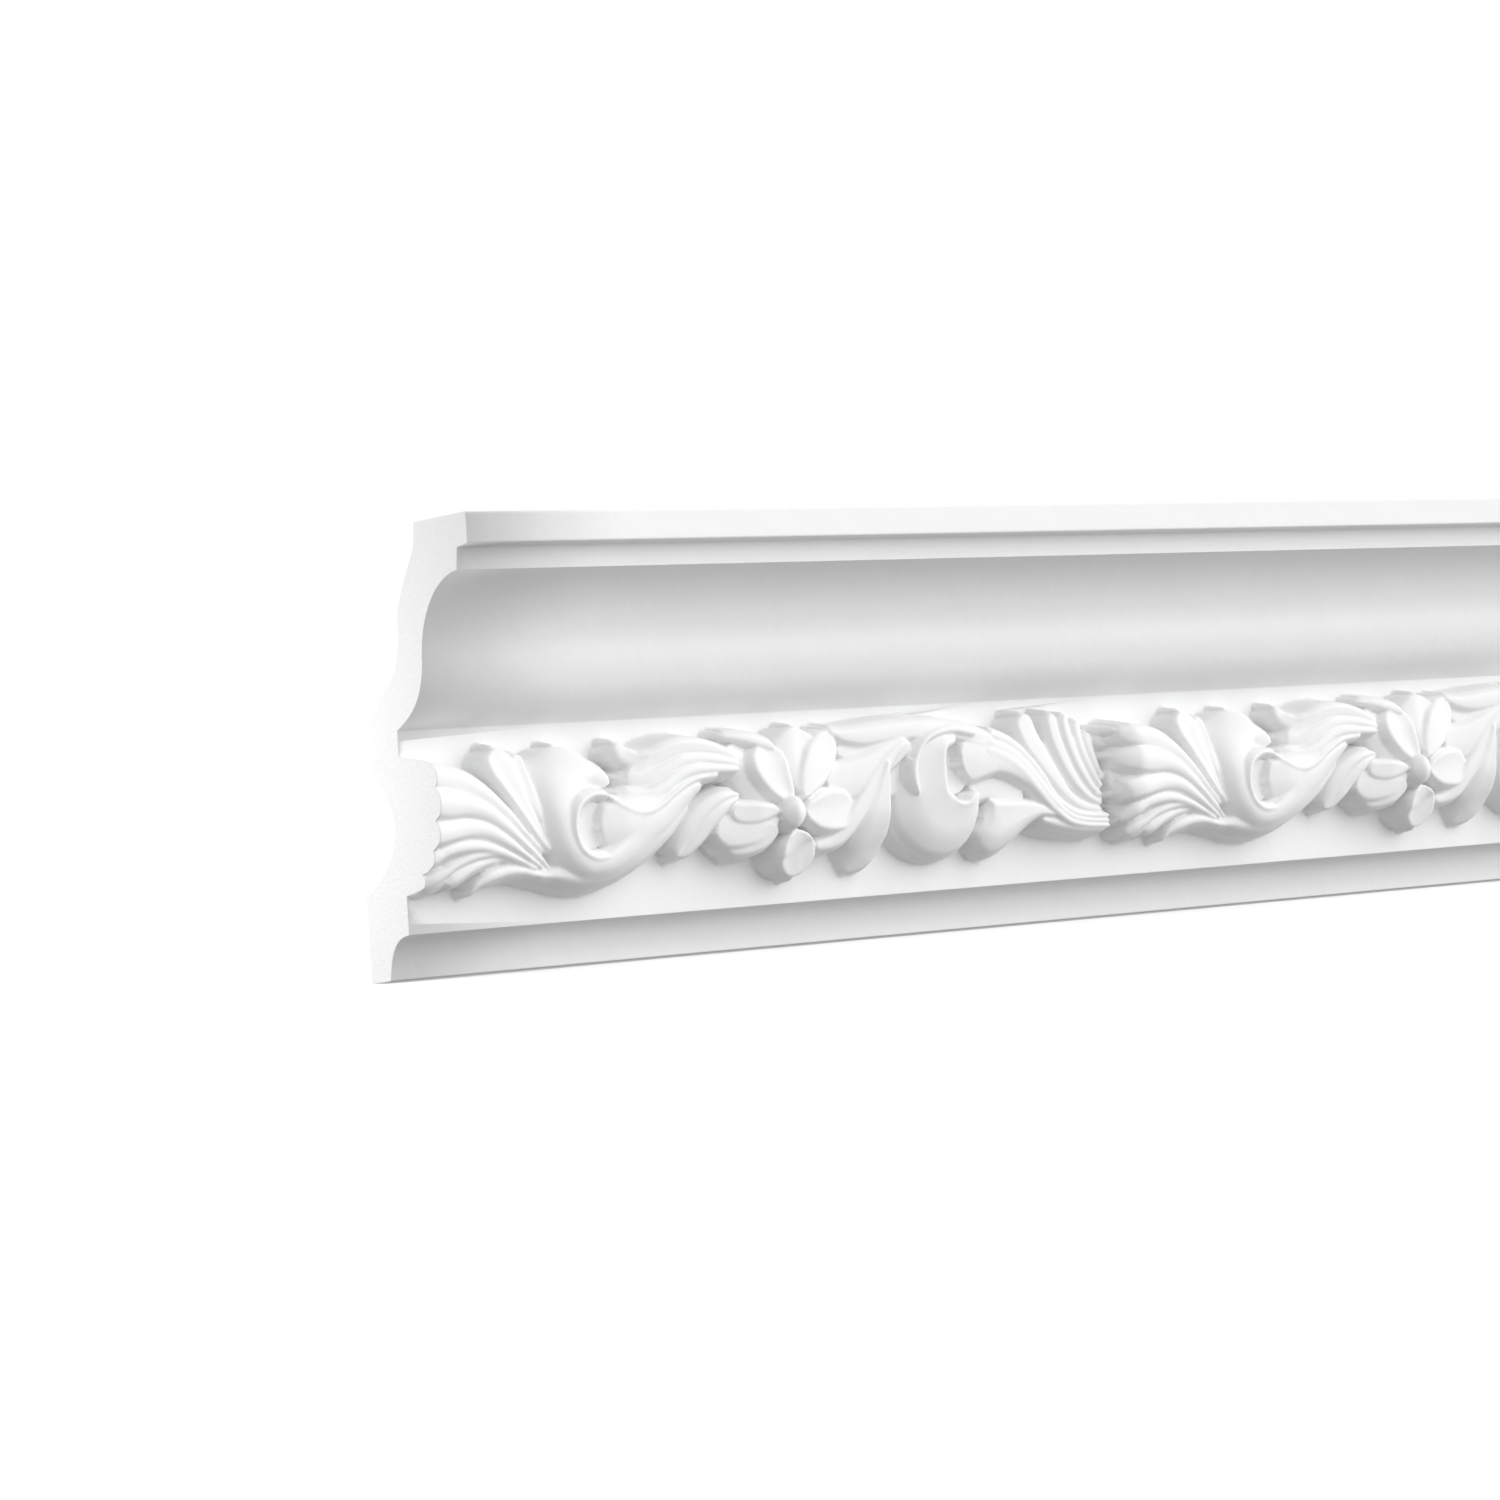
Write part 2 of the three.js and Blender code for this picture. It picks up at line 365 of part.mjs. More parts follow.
// Stations of the wavy back: [share of the way up, thickness of the moulding there]
const BACK = [[0.93, 22.8], [0.85, 21], [0.77, 13.2], [0.7, 10.4], [0.62, 11.4], [0.54, 16.3],
  [0.48, 16.3], [0.41, 13.4], [0.345, 11.7], [0.275, 6.1], [0.187, 3.2], [0.1, 5.8], [0.04, 11.9]];

function outAt(line, up) {
  const over = line.findIndex((point, i) => i > 0 && point.y >= up);
  const i = over > 0 ? over : line.length - 1;
  return THREE.MathUtils.mapLinear(up, line[i - 1].y, line[i].y, line[i - 1].x, line[i].x);
}

// The back has a point level with each given height, and one where the wall strip ends
function backPoints(front, heights) {
  const stations = BACK.map(([share, thick]) => {
    const up = THREE.MathUtils.lerp(WALL_FLAT, HEIGHT, share);
    return new THREE.Vector2(Math.max(outAt(front, up) - thick, 0.1), up);
  });
  const ceilingEnd = new THREE.Vector2(DEPTH - CEILING_FLAT, HEIGHT);
  const wallEnd = new THREE.Vector2(0, WALL_FLAT);
  const wave = new THREE.SplineCurve([ceilingEnd, ...stations, wallEnd]).getPoints(BACK_STEPS);
  const rising = wave.reverse();
  const levels = [...heights.filter((up) => up > 0 && up < HEIGHT), WALL_FLAT];
  const points = levels.sort((p, q) => p - q).map((up) =>
    new THREE.Vector2(up <= WALL_FLAT ? 0 : outAt(rising, up), up));
  return [...points, ceilingEnd];
}

// The band of frieze that holds the relief, a little inside the flat's own edges
const MARGIN = 2.3;
const bandTall = FRIEZE_TALL - 2 * MARGIN;

function friezeOut(share) {
  return THREE.MathUtils.lerp(friezeFoot.out, friezeHead.out, share);
}

function bandUp(row) {
  return friezeFoot.up + MARGIN + bandTall * row / TILE_CELLS;
}

const bays = Math.max(Math.round(TILES * LENGTH / REPEAT), 1);
const columns = bays * TILE_CELLS;

// Height of the relief at each corner of the grid
const carved = Array.from({ length: columns + 1 }, (_, column) =>
  Array.from({ length: TILE_CELLS + 1 }, (_, row) => {
    const along = (LENGTH * column / columns) % REPEAT * SHEET.repeat / REPEAT;
    const share = (bandUp(row) - friezeFoot.up) / FRIEZE_TALL;
    return ornament(along, SHEET.foot + SHEET.tall * share) * RELIEF / SHEET.relief;
  }));

function heightAt(column, row) {
  return carved[column][row];
}

// The relief is halved into right triangles until each lies close to the carved form
function middle(a, b) {
  return [(a[0] + b[0]) / 2, (a[1] + b[1]) / 2];
}

const gaps = new Float64Array((columns + 1) * (TILE_CELLS + 1));
const gapIndex = ([column, row]) => column * (TILE_CELLS + 1) + row;
const depths = 2 * Math.log2(TILE_CELLS);

function eachTriangle(a, b, apex, depth, visit) {
  if (depth === 0) {
    visit(a, b, apex);
    return;
  }
  const centre = middle(a, b);
  eachTriangle(apex, a, centre, depth - 1, visit);
  eachTriangle(b, apex, centre, depth - 1, visit);
}

function eachHalfTile(visit) {
  for (let tile = 0; tile < bays; tile += 1) {
    const [left, right] = [tile * TILE_CELLS, (tile + 1) * TILE_CELLS];
    visit([right, TILE_CELLS], [left, 0], [right, 0]);
    visit([left, 0], [right, TILE_CELLS], [left, TILE_CELLS]);
  }
}

function measureGaps() {
  for (let depth = depths - 1; depth >= 0; depth -= 1) {
    eachHalfTile((a, b, apex) => eachTriangle(a, b, apex, depth, (p, q, r) => {
      const centre = middle(p, q);
      const straight = (heightAt(...p) + heightAt(...q)) / 2;
      const finer = depth === depths - 1 ? [] : [middle(r, p), middle(q, r)];
      const atEnd = centre[0] === 0 || centre[0] === columns ? Infinity : 0;
      gaps[gapIndex(centre)] = Math.max(gaps[gapIndex(centre)], atEnd,
        Math.abs(heightAt(...centre) - straight), ...finer.map((m) => gaps[gapIndex(m)]));
    }));
  }
}

function splitRelief(a, b, apex, depth, add) {
  const centre = middle(a, b);
  if (depth === 0 || gaps[gapIndex(centre)] <= TOLERANCE) {
    add(a, b, apex);
    return;
  }
  splitRelief(apex, a, centre, depth - 1, add);
  splitRelief(b, apex, centre, depth - 1, add);
}

// Everything is gathered as loose triangles of [along, out, up] and merged at the end
const soup = [];

function addTriangle(...corners) {
  corners.forEach(([along, out, up]) => soup.push(along - LENGTH / 2, -out, up - WALL_FLAT / 2));
}

function reliefPoint([column, row]) {
  const up = bandUp(row);
  const share = (up - friezeFoot.up) / FRIEZE_TALL;
  return [LENGTH * column / columns, friezeOut(share) + heightAt(column, row), up];
}

const lowEdge = new Set([0]);
const highEdge = new Set([0]);

function noteEdges([column, row]) {
  if (row === 0) lowEdge.add(column);
  if (row === TILE_CELLS) highEdge.add(column);
}

function addRelief() {
  measureGaps();
  eachHalfTile((a, b, apex) => splitRelief(a, b, apex, depths, (p, q, r) => {
    addTriangle(reliefPoint(p), reliefPoint(q), reliefPoint(r));
    [p, q, r].forEach(noteEdges);
  }));
}

// Straight parts of the profile run the whole length, parted at the tiles' sides
function bayPoint(bay, point) {
  return [LENGTH * bay / bays, point.x, point.y];
}

function addRun(points) {
  for (let i = 0; i + 1 < points.length; i += 1) {
    for (let bay = 0; bay < bays; bay += 1) {
      const [a, b] = [bayPoint(bay, points[i]), bayPoint(bay + 1, points[i])];
      const [c, d] = [bayPoint(bay + 1, points[i + 1]), bayPoint(bay, points[i + 1])];
      addTriangle(a, b, c);
      addTriangle(a, c, d);
    }
  }
}

// The strip between the relief's edge and the nearest straight line of the profile
function addSeam(edge, row, line, upward) {
  const stops = [...edge].sort((a, b) => a - b);
  const add = upward ? addTriangle : (a, b, c) => addTriangle(a, c, b);
  for (let bay = 0; bay < bays; bay += 1) {
    const inBay = stops.filter((c) => c >= bay * TILE_CELLS && c <= (bay + 1) * TILE_CELLS);
    add(bayPoint(bay, line), bayPoint(bay + 1, line), reliefPoint([inBay[0], row]));
    inBay.slice(1).forEach((column, i) => {
      add(bayPoint(bay + 1, line), reliefPoint([column, row]), reliefPoint([inBay[i], row]));
    });
  }
}

// An end face is laced from the foot up between the front's points and the back's
function addEnd(column, below, above, back, facing) {
  const rows = Array.from({ length: TILE_CELLS + 1 }, (_, row) => reliefPoint([column, row]));
  const carvedSide = rows.map(([, out, up]) => new THREE.Vector2(out, up));
  const front = [...below, ...carvedSide, ...above];
  const along = LENGTH * column / columns;
  let [i, j] = [0, 0];
  while (i + 1 < front.length || j + 1 < back.length) {
    const frontNext = j + 1 === back.length
      || (i + 1 < front.length && front[i + 1].y <= back[j + 1].y);
    const corners = [front[i], frontNext ? front[i + 1] : back[j + 1], back[j]];
    const ordered = facing < 0 ? corners : corners.reverse();
    if (!front[i].equals(back[j])) addTriangle(...ordered.map((p) => [along, p.x, p.y]));
    if (frontNext) i += 1;
    else j += 1;
  }
}

function castMoulding() {
  const below = frontBelow();
  const above = frontAbove();
  const bandLevels = Array.from({ length: TILE_CELLS / BACK_ROWS + 1 }, (_, k) => bandUp(k * BACK_ROWS));
  const heights = [...below.map((p) => p.y), ...bandLevels, ...above.map((p) => p.y)];
  const back = [below[0], ...backPoints([...below, ...above], heights)];
  addRelief();
  addRun(below);
  addRun([...above, ...back.slice().reverse()]);
  addSeam(lowEdge, 0, below.at(-1), true);
  addSeam(highEdge, TILE_CELLS, above[0], false);
  addEnd(0, below, above, back, -1);
  addEnd(columns, below, above, back, 1);
  const geometry = new THREE.BufferGeometry();
  geometry.setAttribute('position', new THREE.Float32BufferAttribute(soup, 3));
  const merged = mergeVertices(geometry, 1e-3);
  merged.computeVertexNormals();
  return merged;
}

const whiteCast = new THREE.MeshStandardMaterial({ color: 0xf2f3f2, roughness: 0.62, metalness: 0 });
const moulding = new THREE.Mesh(castMoulding(), whiteCast);
moulding.name = 'cornice_moulding';

const model = new THREE.Group();
model.add(moulding);
export default model;
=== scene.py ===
"""Cornice moulding: one cast length with leaves, scrolls and flowers, in a plain studio."""

import math

import bpy
import numpy as np
from bpy.props import FloatProperty, FloatVectorProperty, IntProperty, PointerProperty
from bpy.types import Operator, Panel, PropertyGroup
from mathutils import Euler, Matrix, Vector


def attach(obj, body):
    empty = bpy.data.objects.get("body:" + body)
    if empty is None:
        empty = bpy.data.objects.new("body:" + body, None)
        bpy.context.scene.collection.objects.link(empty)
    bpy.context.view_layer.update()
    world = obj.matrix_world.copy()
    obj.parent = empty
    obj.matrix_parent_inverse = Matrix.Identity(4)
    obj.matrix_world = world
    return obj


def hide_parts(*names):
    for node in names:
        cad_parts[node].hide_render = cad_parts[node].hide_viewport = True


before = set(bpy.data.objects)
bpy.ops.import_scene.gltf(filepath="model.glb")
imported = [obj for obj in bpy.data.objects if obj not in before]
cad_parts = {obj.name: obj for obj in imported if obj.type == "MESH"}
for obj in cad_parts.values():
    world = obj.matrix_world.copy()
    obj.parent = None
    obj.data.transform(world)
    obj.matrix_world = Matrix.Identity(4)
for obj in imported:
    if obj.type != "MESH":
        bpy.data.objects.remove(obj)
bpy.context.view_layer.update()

bl_info = {
    "name": "Cornice moulding",
    "version": (1, 0, 0),
    "blender": (4, 5, 0),
    "location": "3D View > Sidebar > Cornice",
    "description": "Casts an ornamental cornice moulding and sets it in a plain studio",
    "category": "Object",
}

MM = 0.001
NODE = "cornice_moulding"

# Sizes that the profile is drawn with, in millimetres
LENGTH = 404.0
REPEAT = 202.0
HEIGHT = 100.0
DEPTH = 53.6
WALL_FLAT = 19.1
CEILING_FLAT = 21.6
FASCIA_TALL = 6.7
SOFFIT_DEEP = 4.4
SOFFIT_RISE = 0.5
FILLET_TALL = 4.3
FILLET_LEAN = 0.7
CYMA_TALL = 33.0
FRIEZE_TALL = 45.0
FRIEZE_LEAN = 1.1
FOOT_DEEP = 8.3
FOOT_RISE = 0.6
COVE_DEEP = 9.3
MARGIN = 2.3  # plain frieze on either side of the relief
TILES = 5  # squares of relief along one repeat

# Stations of the wavy back: (share of the way up, thickness of the moulding there)
BACK = ((0.93, 22.8), (0.85, 21), (0.77, 13.2), (0.7, 10.4), (0.62, 11.4), (0.54, 16.3), (0.48, 16.3),
        (0.41, 13.4), (0.345, 11.7), (0.275, 6.1), (0.187, 3.2), (0.1, 5.8), (0.04, 11.9))

# The ornament is drawn on a sheet of this size and fitted to the frieze
SHEET_REPEAT = 202.0
SHEET_FOOT = 10.5
SHEET_TALL = 45.0

# How a leaf's section is read
SPINE_STEPS = 96
CREASE_WIDTH = 0.22  # share of the half width
SHOULDER = 0.8  # how far a leaf's edge slopes gently before its side drops
TIP_WIDTH = 0.1  # a leaf's least half width, at its very tip
RIM_LIMIT = 0.98  # keeps the rounded rim from turning fully upright

# How the back, the corners and the sawn faces are read
BACK_STEPS = 8  # straight steps for each station of the wavy back
NEARLY_STRAIGHT = -0.93  # cosine between the sides of a corner too flat to round
FACE_SKIN = 0.02  # depth that counts as the sawn face
FOAM_CELL = 0.9  # size of the sawn foam's pores

# The light by the cut end, in metres
END_LIGHT_SIDE = 0.12
END_LIGHT_PLACE = (0.11, 0.05, 0.04)  # out from the left end, behind the wall flat, and above it


class ProfileSettings(PropertyGroup):
    """How finely and softly the cast form is made"""

    corner: FloatProperty(
        name="Corner radius", description="Rounding of the profile's edges",
        default=0.45 * MM, min=0, unit="LENGTH")
    curve_steps: IntProperty(
        name="Curve steps", description="Straight steps in each curve of the profile", default=22, min=4)
    cells: IntProperty(
        name="Cells", description="Smallest cells across a square of relief, a power of two", default=128)
    tolerance: FloatProperty(
        name="Tolerance", description="How far the facets may leave the carved form",
        default=0.012 * MM, min=0, unit="LENGTH")
    wall_slope: FloatProperty(
        name="Side steepness", description="Rise of the leaves' sides for each step outward", default=7.0)
    blend: FloatProperty(
        name="Blend", description="How softly neighbouring leaves run into each other",
        default=0.6 * MM, min=0, unit="LENGTH")


class FinishSettings(PropertyGroup):
    """Colours and grain of the white casting"""

    white: FloatVectorProperty(
        name="White", description="Primed face of the casting", subtype="COLOR", size=3,
        default=(0.83, 0.835, 0.832))
    # The cut face's colour is whiter than the primer partly as painted light: the sawn foam is real, but its
    # extra whiteness brightens the cut end as a light on it would.
    cut: FloatVectorProperty(
        name="Cut face", description="Fresh foam where the length is sawn off", subtype="COLOR", size=3,
        default=(0.95, 0.95, 0.95))
    roughness: FloatProperty(
        name="Roughness", description="Mean roughness of the primer", default=0.58, min=0, max=1)
    grain: FloatProperty(
        name="Grain", description="Size of the primer's fine grain", default=0.5 * MM, unit="LENGTH")
    sway: FloatProperty(
        name="Sway", description="Size of the faint unevenness of the mould", default=14 * MM, unit="LENGTH")


class StudioSettings(PropertyGroup):
    """Camera, floor and lights"""

    camera_place: FloatVectorProperty(
        name="Camera", description="Where the camera stands", subtype="TRANSLATION", size=3,
        default=(-0.6484, -0.7781, 0.01525))
    camera_turn: FloatProperty(
        name="Turn", description="Camera's turn about the upright", subtype="ANGLE",
        default=math.radians(-35.46))
    camera_tilt: FloatProperty(
        name="Tilt", description="Camera's tilt above level", subtype="ANGLE", default=math.radians(1.355))
    camera_roll: FloatProperty(
        name="Roll", description="Camera's roll about its line of sight", subtype="ANGLE",
        default=math.radians(-4.22))
    lens: FloatProperty(name="Lens", description="Focal length on a 36 mm sensor", default=96.0)
    floor_size: FloatProperty(name="Floor", description="Side of the floor", default=30.0, unit="LENGTH")
    floor_white: FloatVectorProperty(
        name="Floor white", description="Colour of the floor", subtype="COLOR", size=3,
        default=(0.95, 0.95, 0.95))
    floor_glow: FloatProperty(
        name="Floor glow", description="Light that the floor gives off by itself", default=0.16)
    key: FloatProperty(name="Key light", description="Strength of the high light", default=2.8)
    key_from: FloatVectorProperty(
        name="Key from", description="Way toward the high light", subtype="DIRECTION", size=3,
        default=(0.5, -0.8, 0.3))
    key_soft: FloatProperty(
        name="Key softness", description="Angle that the high light fills", subtype="ANGLE",
        default=math.radians(75))
    end: FloatProperty(name="End light", description="Power of the light by the cut end", default=0.12)
    sky_high: FloatProperty(name="Sky above", description="Strength of the light from above", default=0.64)
    sky_low: FloatProperty(name="Sky below", description="Strength of the light from below", default=0.35)
    backdrop: FloatProperty(name="Backdrop", description="Strength of the light behind it", default=1.0)


def leaf(stations, left, right, **more):
    """One leaf: stations of (along, up, half width, height), and how far each edge bends off its crest"""
    form = {"stations": stations, "left": left, "right": right, "tilt": 0.0, "edge": 0.8, "groove": 0.0,
            "groove_at": 0.0, "shoulder": 1.5, "tip": 1.0, "hollow": False}
    return {**form, **more}


def hollow(*stations):
    """A channel sunk into the leaves below it: stations of (along, up, half width, depth)"""
    return leaf(stations, 0, 0, hollow=True)


def row(count, first, last, left, right):
    """A row of like leaves, each one between the first and the last"""
    made = []
    for i in range(count):
        share = i / (count - 1)
        stations = [
            tuple((1 - share) * p + share * q for p, q in zip(start, end))
            for start, end in zip(first, last)]
        made.append(leaf(stations, left, right))
    return made


def left_spray():
    """Leaves that sweep left from the stem's foot"""
    return [
        leaf([(33, 22.5, 0.6, 8), (27, 27, 2.8, 9.2), (21, 30.5, 5.4, 10.6), (14, 33.2, 7.9, 11.8),
              (6, 35, 10, 13.2), (-1, 35.6, 10.6, 12.8), (-7, 35.8, 10.4, 9.6)], -4, -1.2),
        leaf([(-5.3, 46.2, 1.6, 12.6), (-3, 45, 2.2, 15), (-0.1, 44.6, 2.3, 15.6), (4.2, 44, 2.4, 14.4),
              (10, 42.4, 2.3, 13), (15.6, 39.6, 1.7, 12), (21.2, 35.3, 1.3, 11), (25.7, 31, 0.9, 10.2),
              (30.5, 26.8, 0.5, 9)], -1, -0.5),
        leaf([(-6.7, 40, 1.7, 11.6), (-5.1, 39.6, 2.3, 13.8), (-3.2, 39.2, 2.6, 15.4),
              (-0.5, 38.9, 3, 16.6), (3.2, 38.5, 3.1, 16), (9, 37.8, 2.4, 14.6), (15, 35.9, 1.9, 13),
              (20.7, 32.2, 1.35, 11.8), (25.5, 28.4, 0.95, 10.6), (30.4, 24.4, 0.5, 9.2)], -1.1, -0.7),
        leaf([(-6, 30.8, 1.9, 11), (-4.6, 31.1, 2.4, 13.2), (-3, 31.6, 2.6, 14.8), (0.5, 32.3, 2.6, 15.6),
              (5, 32.8, 2.4, 14.6), (9.6, 33, 2.2, 13.6), (15.4, 31.9, 1.8, 12.4), (21, 29, 1.3, 11.4),
              (25.6, 26, 0.9, 10.4), (30, 23.3, 0.5, 9)], -1.1, -0.7),
        leaf([(-4, 24.2, 1.5, 9.6), (-2, 25.9, 1.9, 11.6), (0.1, 27.2, 1.9, 12.8), (3.1, 28.4, 1.7, 12.8),
              (7.2, 29.1, 1.6, 12.6), (12.6, 29, 1.4, 12), (18.1, 27.6, 1.2, 11.2), (23.8, 25.3, 1, 10),
              (28.5, 23, 0.6, 9)], -1.2, -0.5),
        leaf([(-0.5, 20.8, 1.4, 7.6), (1.6, 22.4, 1.6, 9.2), (4.8, 23.9, 1.4, 10), (7.5, 25.4, 1.3, 10.4),
              (11.3, 26.6, 1.2, 10.8), (15.3, 27.1, 1.1, 10.8), (19.7, 26.7, 1, 10.2),
              (24.2, 25, 0.7, 9.4)], -1, -0.6),
        leaf([(5.4, 20.9, 1, 8.2), (7.3, 22.3, 1.6, 9.2), (10.9, 24.2, 1.5, 9.8), (14.9, 25.3, 1.2, 9.8),
              (19.2, 25.6, 0.8, 9.4)], -1.2, -0.5),
        leaf([(12.9, 19, 0.8, 6.8), (14.1, 20.8, 1.2, 7.8), (17, 22.4, 1.6, 8.8), (20.9, 23.3, 1.6, 9),
              (25, 23, 1.3, 9), (28.6, 21.9, 0.9, 8.8), (32.8, 20.9, 0.5, 8.6)], -2, -0.4),
        leaf([(32.3, 27, 0.4, 9), (29.9, 31, 1.1, 9), (26.3, 37.8, 2.1, 8.6), (22.8, 43.9, 3, 8.4),
              (21.2, 46.8, 3.3, 8.1), (20.3, 50.2, 2.9, 7.2)], 0.9, -0.4),
        leaf([(33, 28, 0.4, 8.8), (31.2, 33, 0.8, 8.8), (28.8, 38.8, 1.2, 8.4), (26.6, 44.4, 1.7, 7.8),
              (25.5, 48.6, 1.7, 7)], 0.1, 0.3),
    ]


def curled_leaf():
    """Broad lobe that curls over into a comma, and the ribbons that run on from it"""
    return [
        leaf([(40.5, 44, 4.4, 6.6), (45, 43, 3.6, 6), (50, 41, 2.4, 7.8)], -0.6, -0.2, edge=1.2),
        leaf([(36, 50, 7.6, 7.2), (36, 45, 8.8, 8.6), (35, 40, 6.9, 10.2), (33.9, 35, 4.5, 11.4),
              (34.2, 30, 3.4, 12), (35.8, 25.6, 3.3, 12.4), (39.2, 22.4, 3.5, 12.6),
              (43.5, 21.6, 3.4, 12.6), (48, 22.8, 3.9, 12.8), (54, 26, 4.6, 12.9), (60, 30, 4.4, 13),
              (67, 35.5, 3.2, 12.8), (72, 39, 2.2, 12.4)], -1.8, -3.6, tilt=2.2, edge=1.2),
        leaf([(27, 21.4, 0.7, 8), (33, 21.2, 2, 9.2), (38, 20.8, 3, 10.2), (44, 20.9, 3.4, 10.8),
              (50, 22.8, 3.8, 11.2), (56, 26, 4, 11.8), (62, 30, 3.8, 12.2),
              (68, 35, 3, 12)], -0.3, -4, edge=1.6),
        leaf([(43.8, 31.2, 4.6, 12.2), (46.4, 31.4, 5.2, 13), (51, 31.7, 5.6, 13.9), (58, 32.9, 5, 13.8),
              (63, 35.2, 4.2, 13.2), (70, 39.4, 2.6, 12.6)], -0.6, -1.6, edge=1.6, tip=0.45),
        leaf([(46.3, 38.2, 0.5, 12.8), (43.1, 38.7, 0.6, 12.8), (40.5, 38, 0.65, 13),
              (38.2, 36.2, 0.6, 13.3), (37.1, 33.5, 0.55, 13.5), (36.9, 30.5, 0.55, 13.6),
              (37.9, 27.2, 0.6, 13.7), (39.7, 25.3, 0.65, 13.8), (42.1, 24.4, 0.7, 13.8),
              (45.1, 24.6, 0.7, 13.5)], -0.5, -0.5),
        leaf([(41.8, 37, 5.4, 9.6), (42.8, 31, 5.8, 9.6), (45, 27, 4.6, 9.8)], -0.2, -0.2, tilt=1.6),
        hollow((40.4, 39.8, 1, 0.5), (43, 41, 1.3, 1), (46, 41, 1.2, 1), (49, 39.6, 0.9, 0.5)),
        leaf([(53.1, 42.6, 2.4, 9.8), (57.5, 41.5, 4.4, 10.8), (62.5, 42, 5.2, 10.8), (70.1, 44, 4.4, 11.4),
              (80.2, 43.8, 2.4, 12)], -0.2, -0.2),
        leaf([(52.4, 50, 1.4, 7.2), (53.7, 47, 1.9, 8.6), (56.8, 45.2, 2.1, 10.2), (60.2, 45.5, 2.1, 11.2),
              (64.8, 47.1, 2.1, 11.8), (69.5, 47.7, 1.9, 12.2), (74.3, 47.2, 1.6, 12.6),
              (79.1, 45.8, 1.2, 12.8), (82.1, 44.4, 0.8, 12.8)], 0.1, -0.8),
        leaf([(51.7, 42.2, 1.2, 8), (53.8, 41.4, 1.7, 10.2), (57.9, 41.1, 1.9, 11.6),
              (62.4, 42.6, 1.9, 12.4), (67.1, 44.6, 1.7, 12.8), (72, 45, 1.5, 13), (76.9, 44.5, 1.3, 13.2),
              (82.5, 43.4, 1.1, 13)], -0.4, -0.8),
        leaf([(49.9, 38.9, 1.2, 9.4), (51.9, 37.8, 1.7, 11.6), (57, 37.2, 1.9, 13), (61.2, 38.9, 1.8, 13.4),
              (65.7, 41.4, 1.6, 13.4), (70.6, 42.7, 1.4, 13.6), (75.7, 42.6, 1.2, 13.5),
              (82.3, 42.2, 1, 13.2)], -0.4, -0.8),
        leaf([(47.2, 37.6, 0.6, 12.4), (49.6, 35.7, 0.7, 13.6), (52.8, 34.2, 0.7, 14),
              (56.2, 34, 0.7, 14.2), (60.3, 35.6, 0.7, 14), (64.5, 38.3, 0.7, 13.8),
              (69.6, 40.6, 0.7, 13.6), (75.7, 41.3, 0.7, 13.4)], -0.6, -0.5),
        leaf([(83.3, 36.4, 1, 11.2), (78.6, 35.2, 2.7, 11.2), (74.5, 32.3, 3.5, 10.4), (71.3, 28.2, 3.4, 9),
              (69.4, 25.2, 2.6, 7.6), (68.3, 23.2, 1.5, 6.6)], -0.4, -1.2, groove=0.5, groove_at=0.1),
    ]


def flower():
    """Five petals about a boss, with a leaf behind"""
    return [
        leaf([(81.9, 50.2, 0.8, 7.4), (86.1, 49.4, 1.4, 8.6), (90.5, 48.2, 1.6, 9.4),
              (94.5, 46.6, 1.4, 10.2)], -0.3, -2),
        leaf([(83, 47.5, 3, 7), (87.5, 43, 4.4, 8), (91, 38, 4.6, 9), (95, 33, 4, 10)], -1.5, -3),
        leaf([(93.6, 30.2, 2.4, 11.6), (88, 29.2, 4.2, 11), (82.5, 28.5, 4.4, 9.7),
              (77.8, 28, 3.2, 8.4)], -0.5, -0.7, edge=1.2),
        leaf([(97, 34.3, 1.4, 12.2), (94.6, 38.2, 3.4, 11.6), (92.9, 42.3, 4.5, 10.8),
              (92.3, 45.3, 4.3, 9.8), (92, 48.2, 3.3, 8.8)], 0.4, 0.9, edge=1.1),
        leaf([(100.5, 36, 1.6, 12), (101.2, 41, 4, 10.6), (101.8, 46, 5.9, 9.2),
              (102.2, 51.4, 5.9, 7.8)], -3, 1, edge=1.2),
        leaf([(100.8, 35, 1, 12.4), (103.2, 39, 3.2, 12), (106.5, 43, 4.2, 11.2), (108.8, 46.2, 3.8, 10.2),
              (110.8, 50, 2.7, 9.2)], -0.6, 0.6, edge=1.1),
        leaf([(100.8, 31.8, 1.4, 12.4), (105.1, 31.4, 4, 12.2), (110, 31.4, 4.8, 11.6),
              (116.3, 31.2, 4.2, 10.4)], 0.7, 0.3, edge=1.1),
        leaf([(99.1, 27.6, 1.8, 11.4), (99.3, 24.6, 4.4, 10.4), (100.1, 21.6, 5.2, 8.6),
              (100.5, 16.6, 4.8, 6.4)], 0.9, 1.3, edge=1.1),
        leaf([(93.4, 32.2, 0.9, 12.4), (88.7, 31.9, 2.1, 12), (84.9, 32, 2.3, 11),
              (81.5, 32.6, 1.8, 10)], -0.3, 0.3),
        leaf([(93.4, 27.9, 1.4, 11.6), (89.2, 26.7, 3.2, 10.6), (85.1, 25.5, 3.1, 9.2),
              (81, 24.9, 2.4, 7.6)], -0.5, 0.4),
        leaf([(93.6, 31.8, 3.8, 13.2), (96.9, 31.6, 3.9, 15.8),
              (100.2, 31.4, 3.8, 13.2)], -2.2, -2.2, edge=1),
    ]


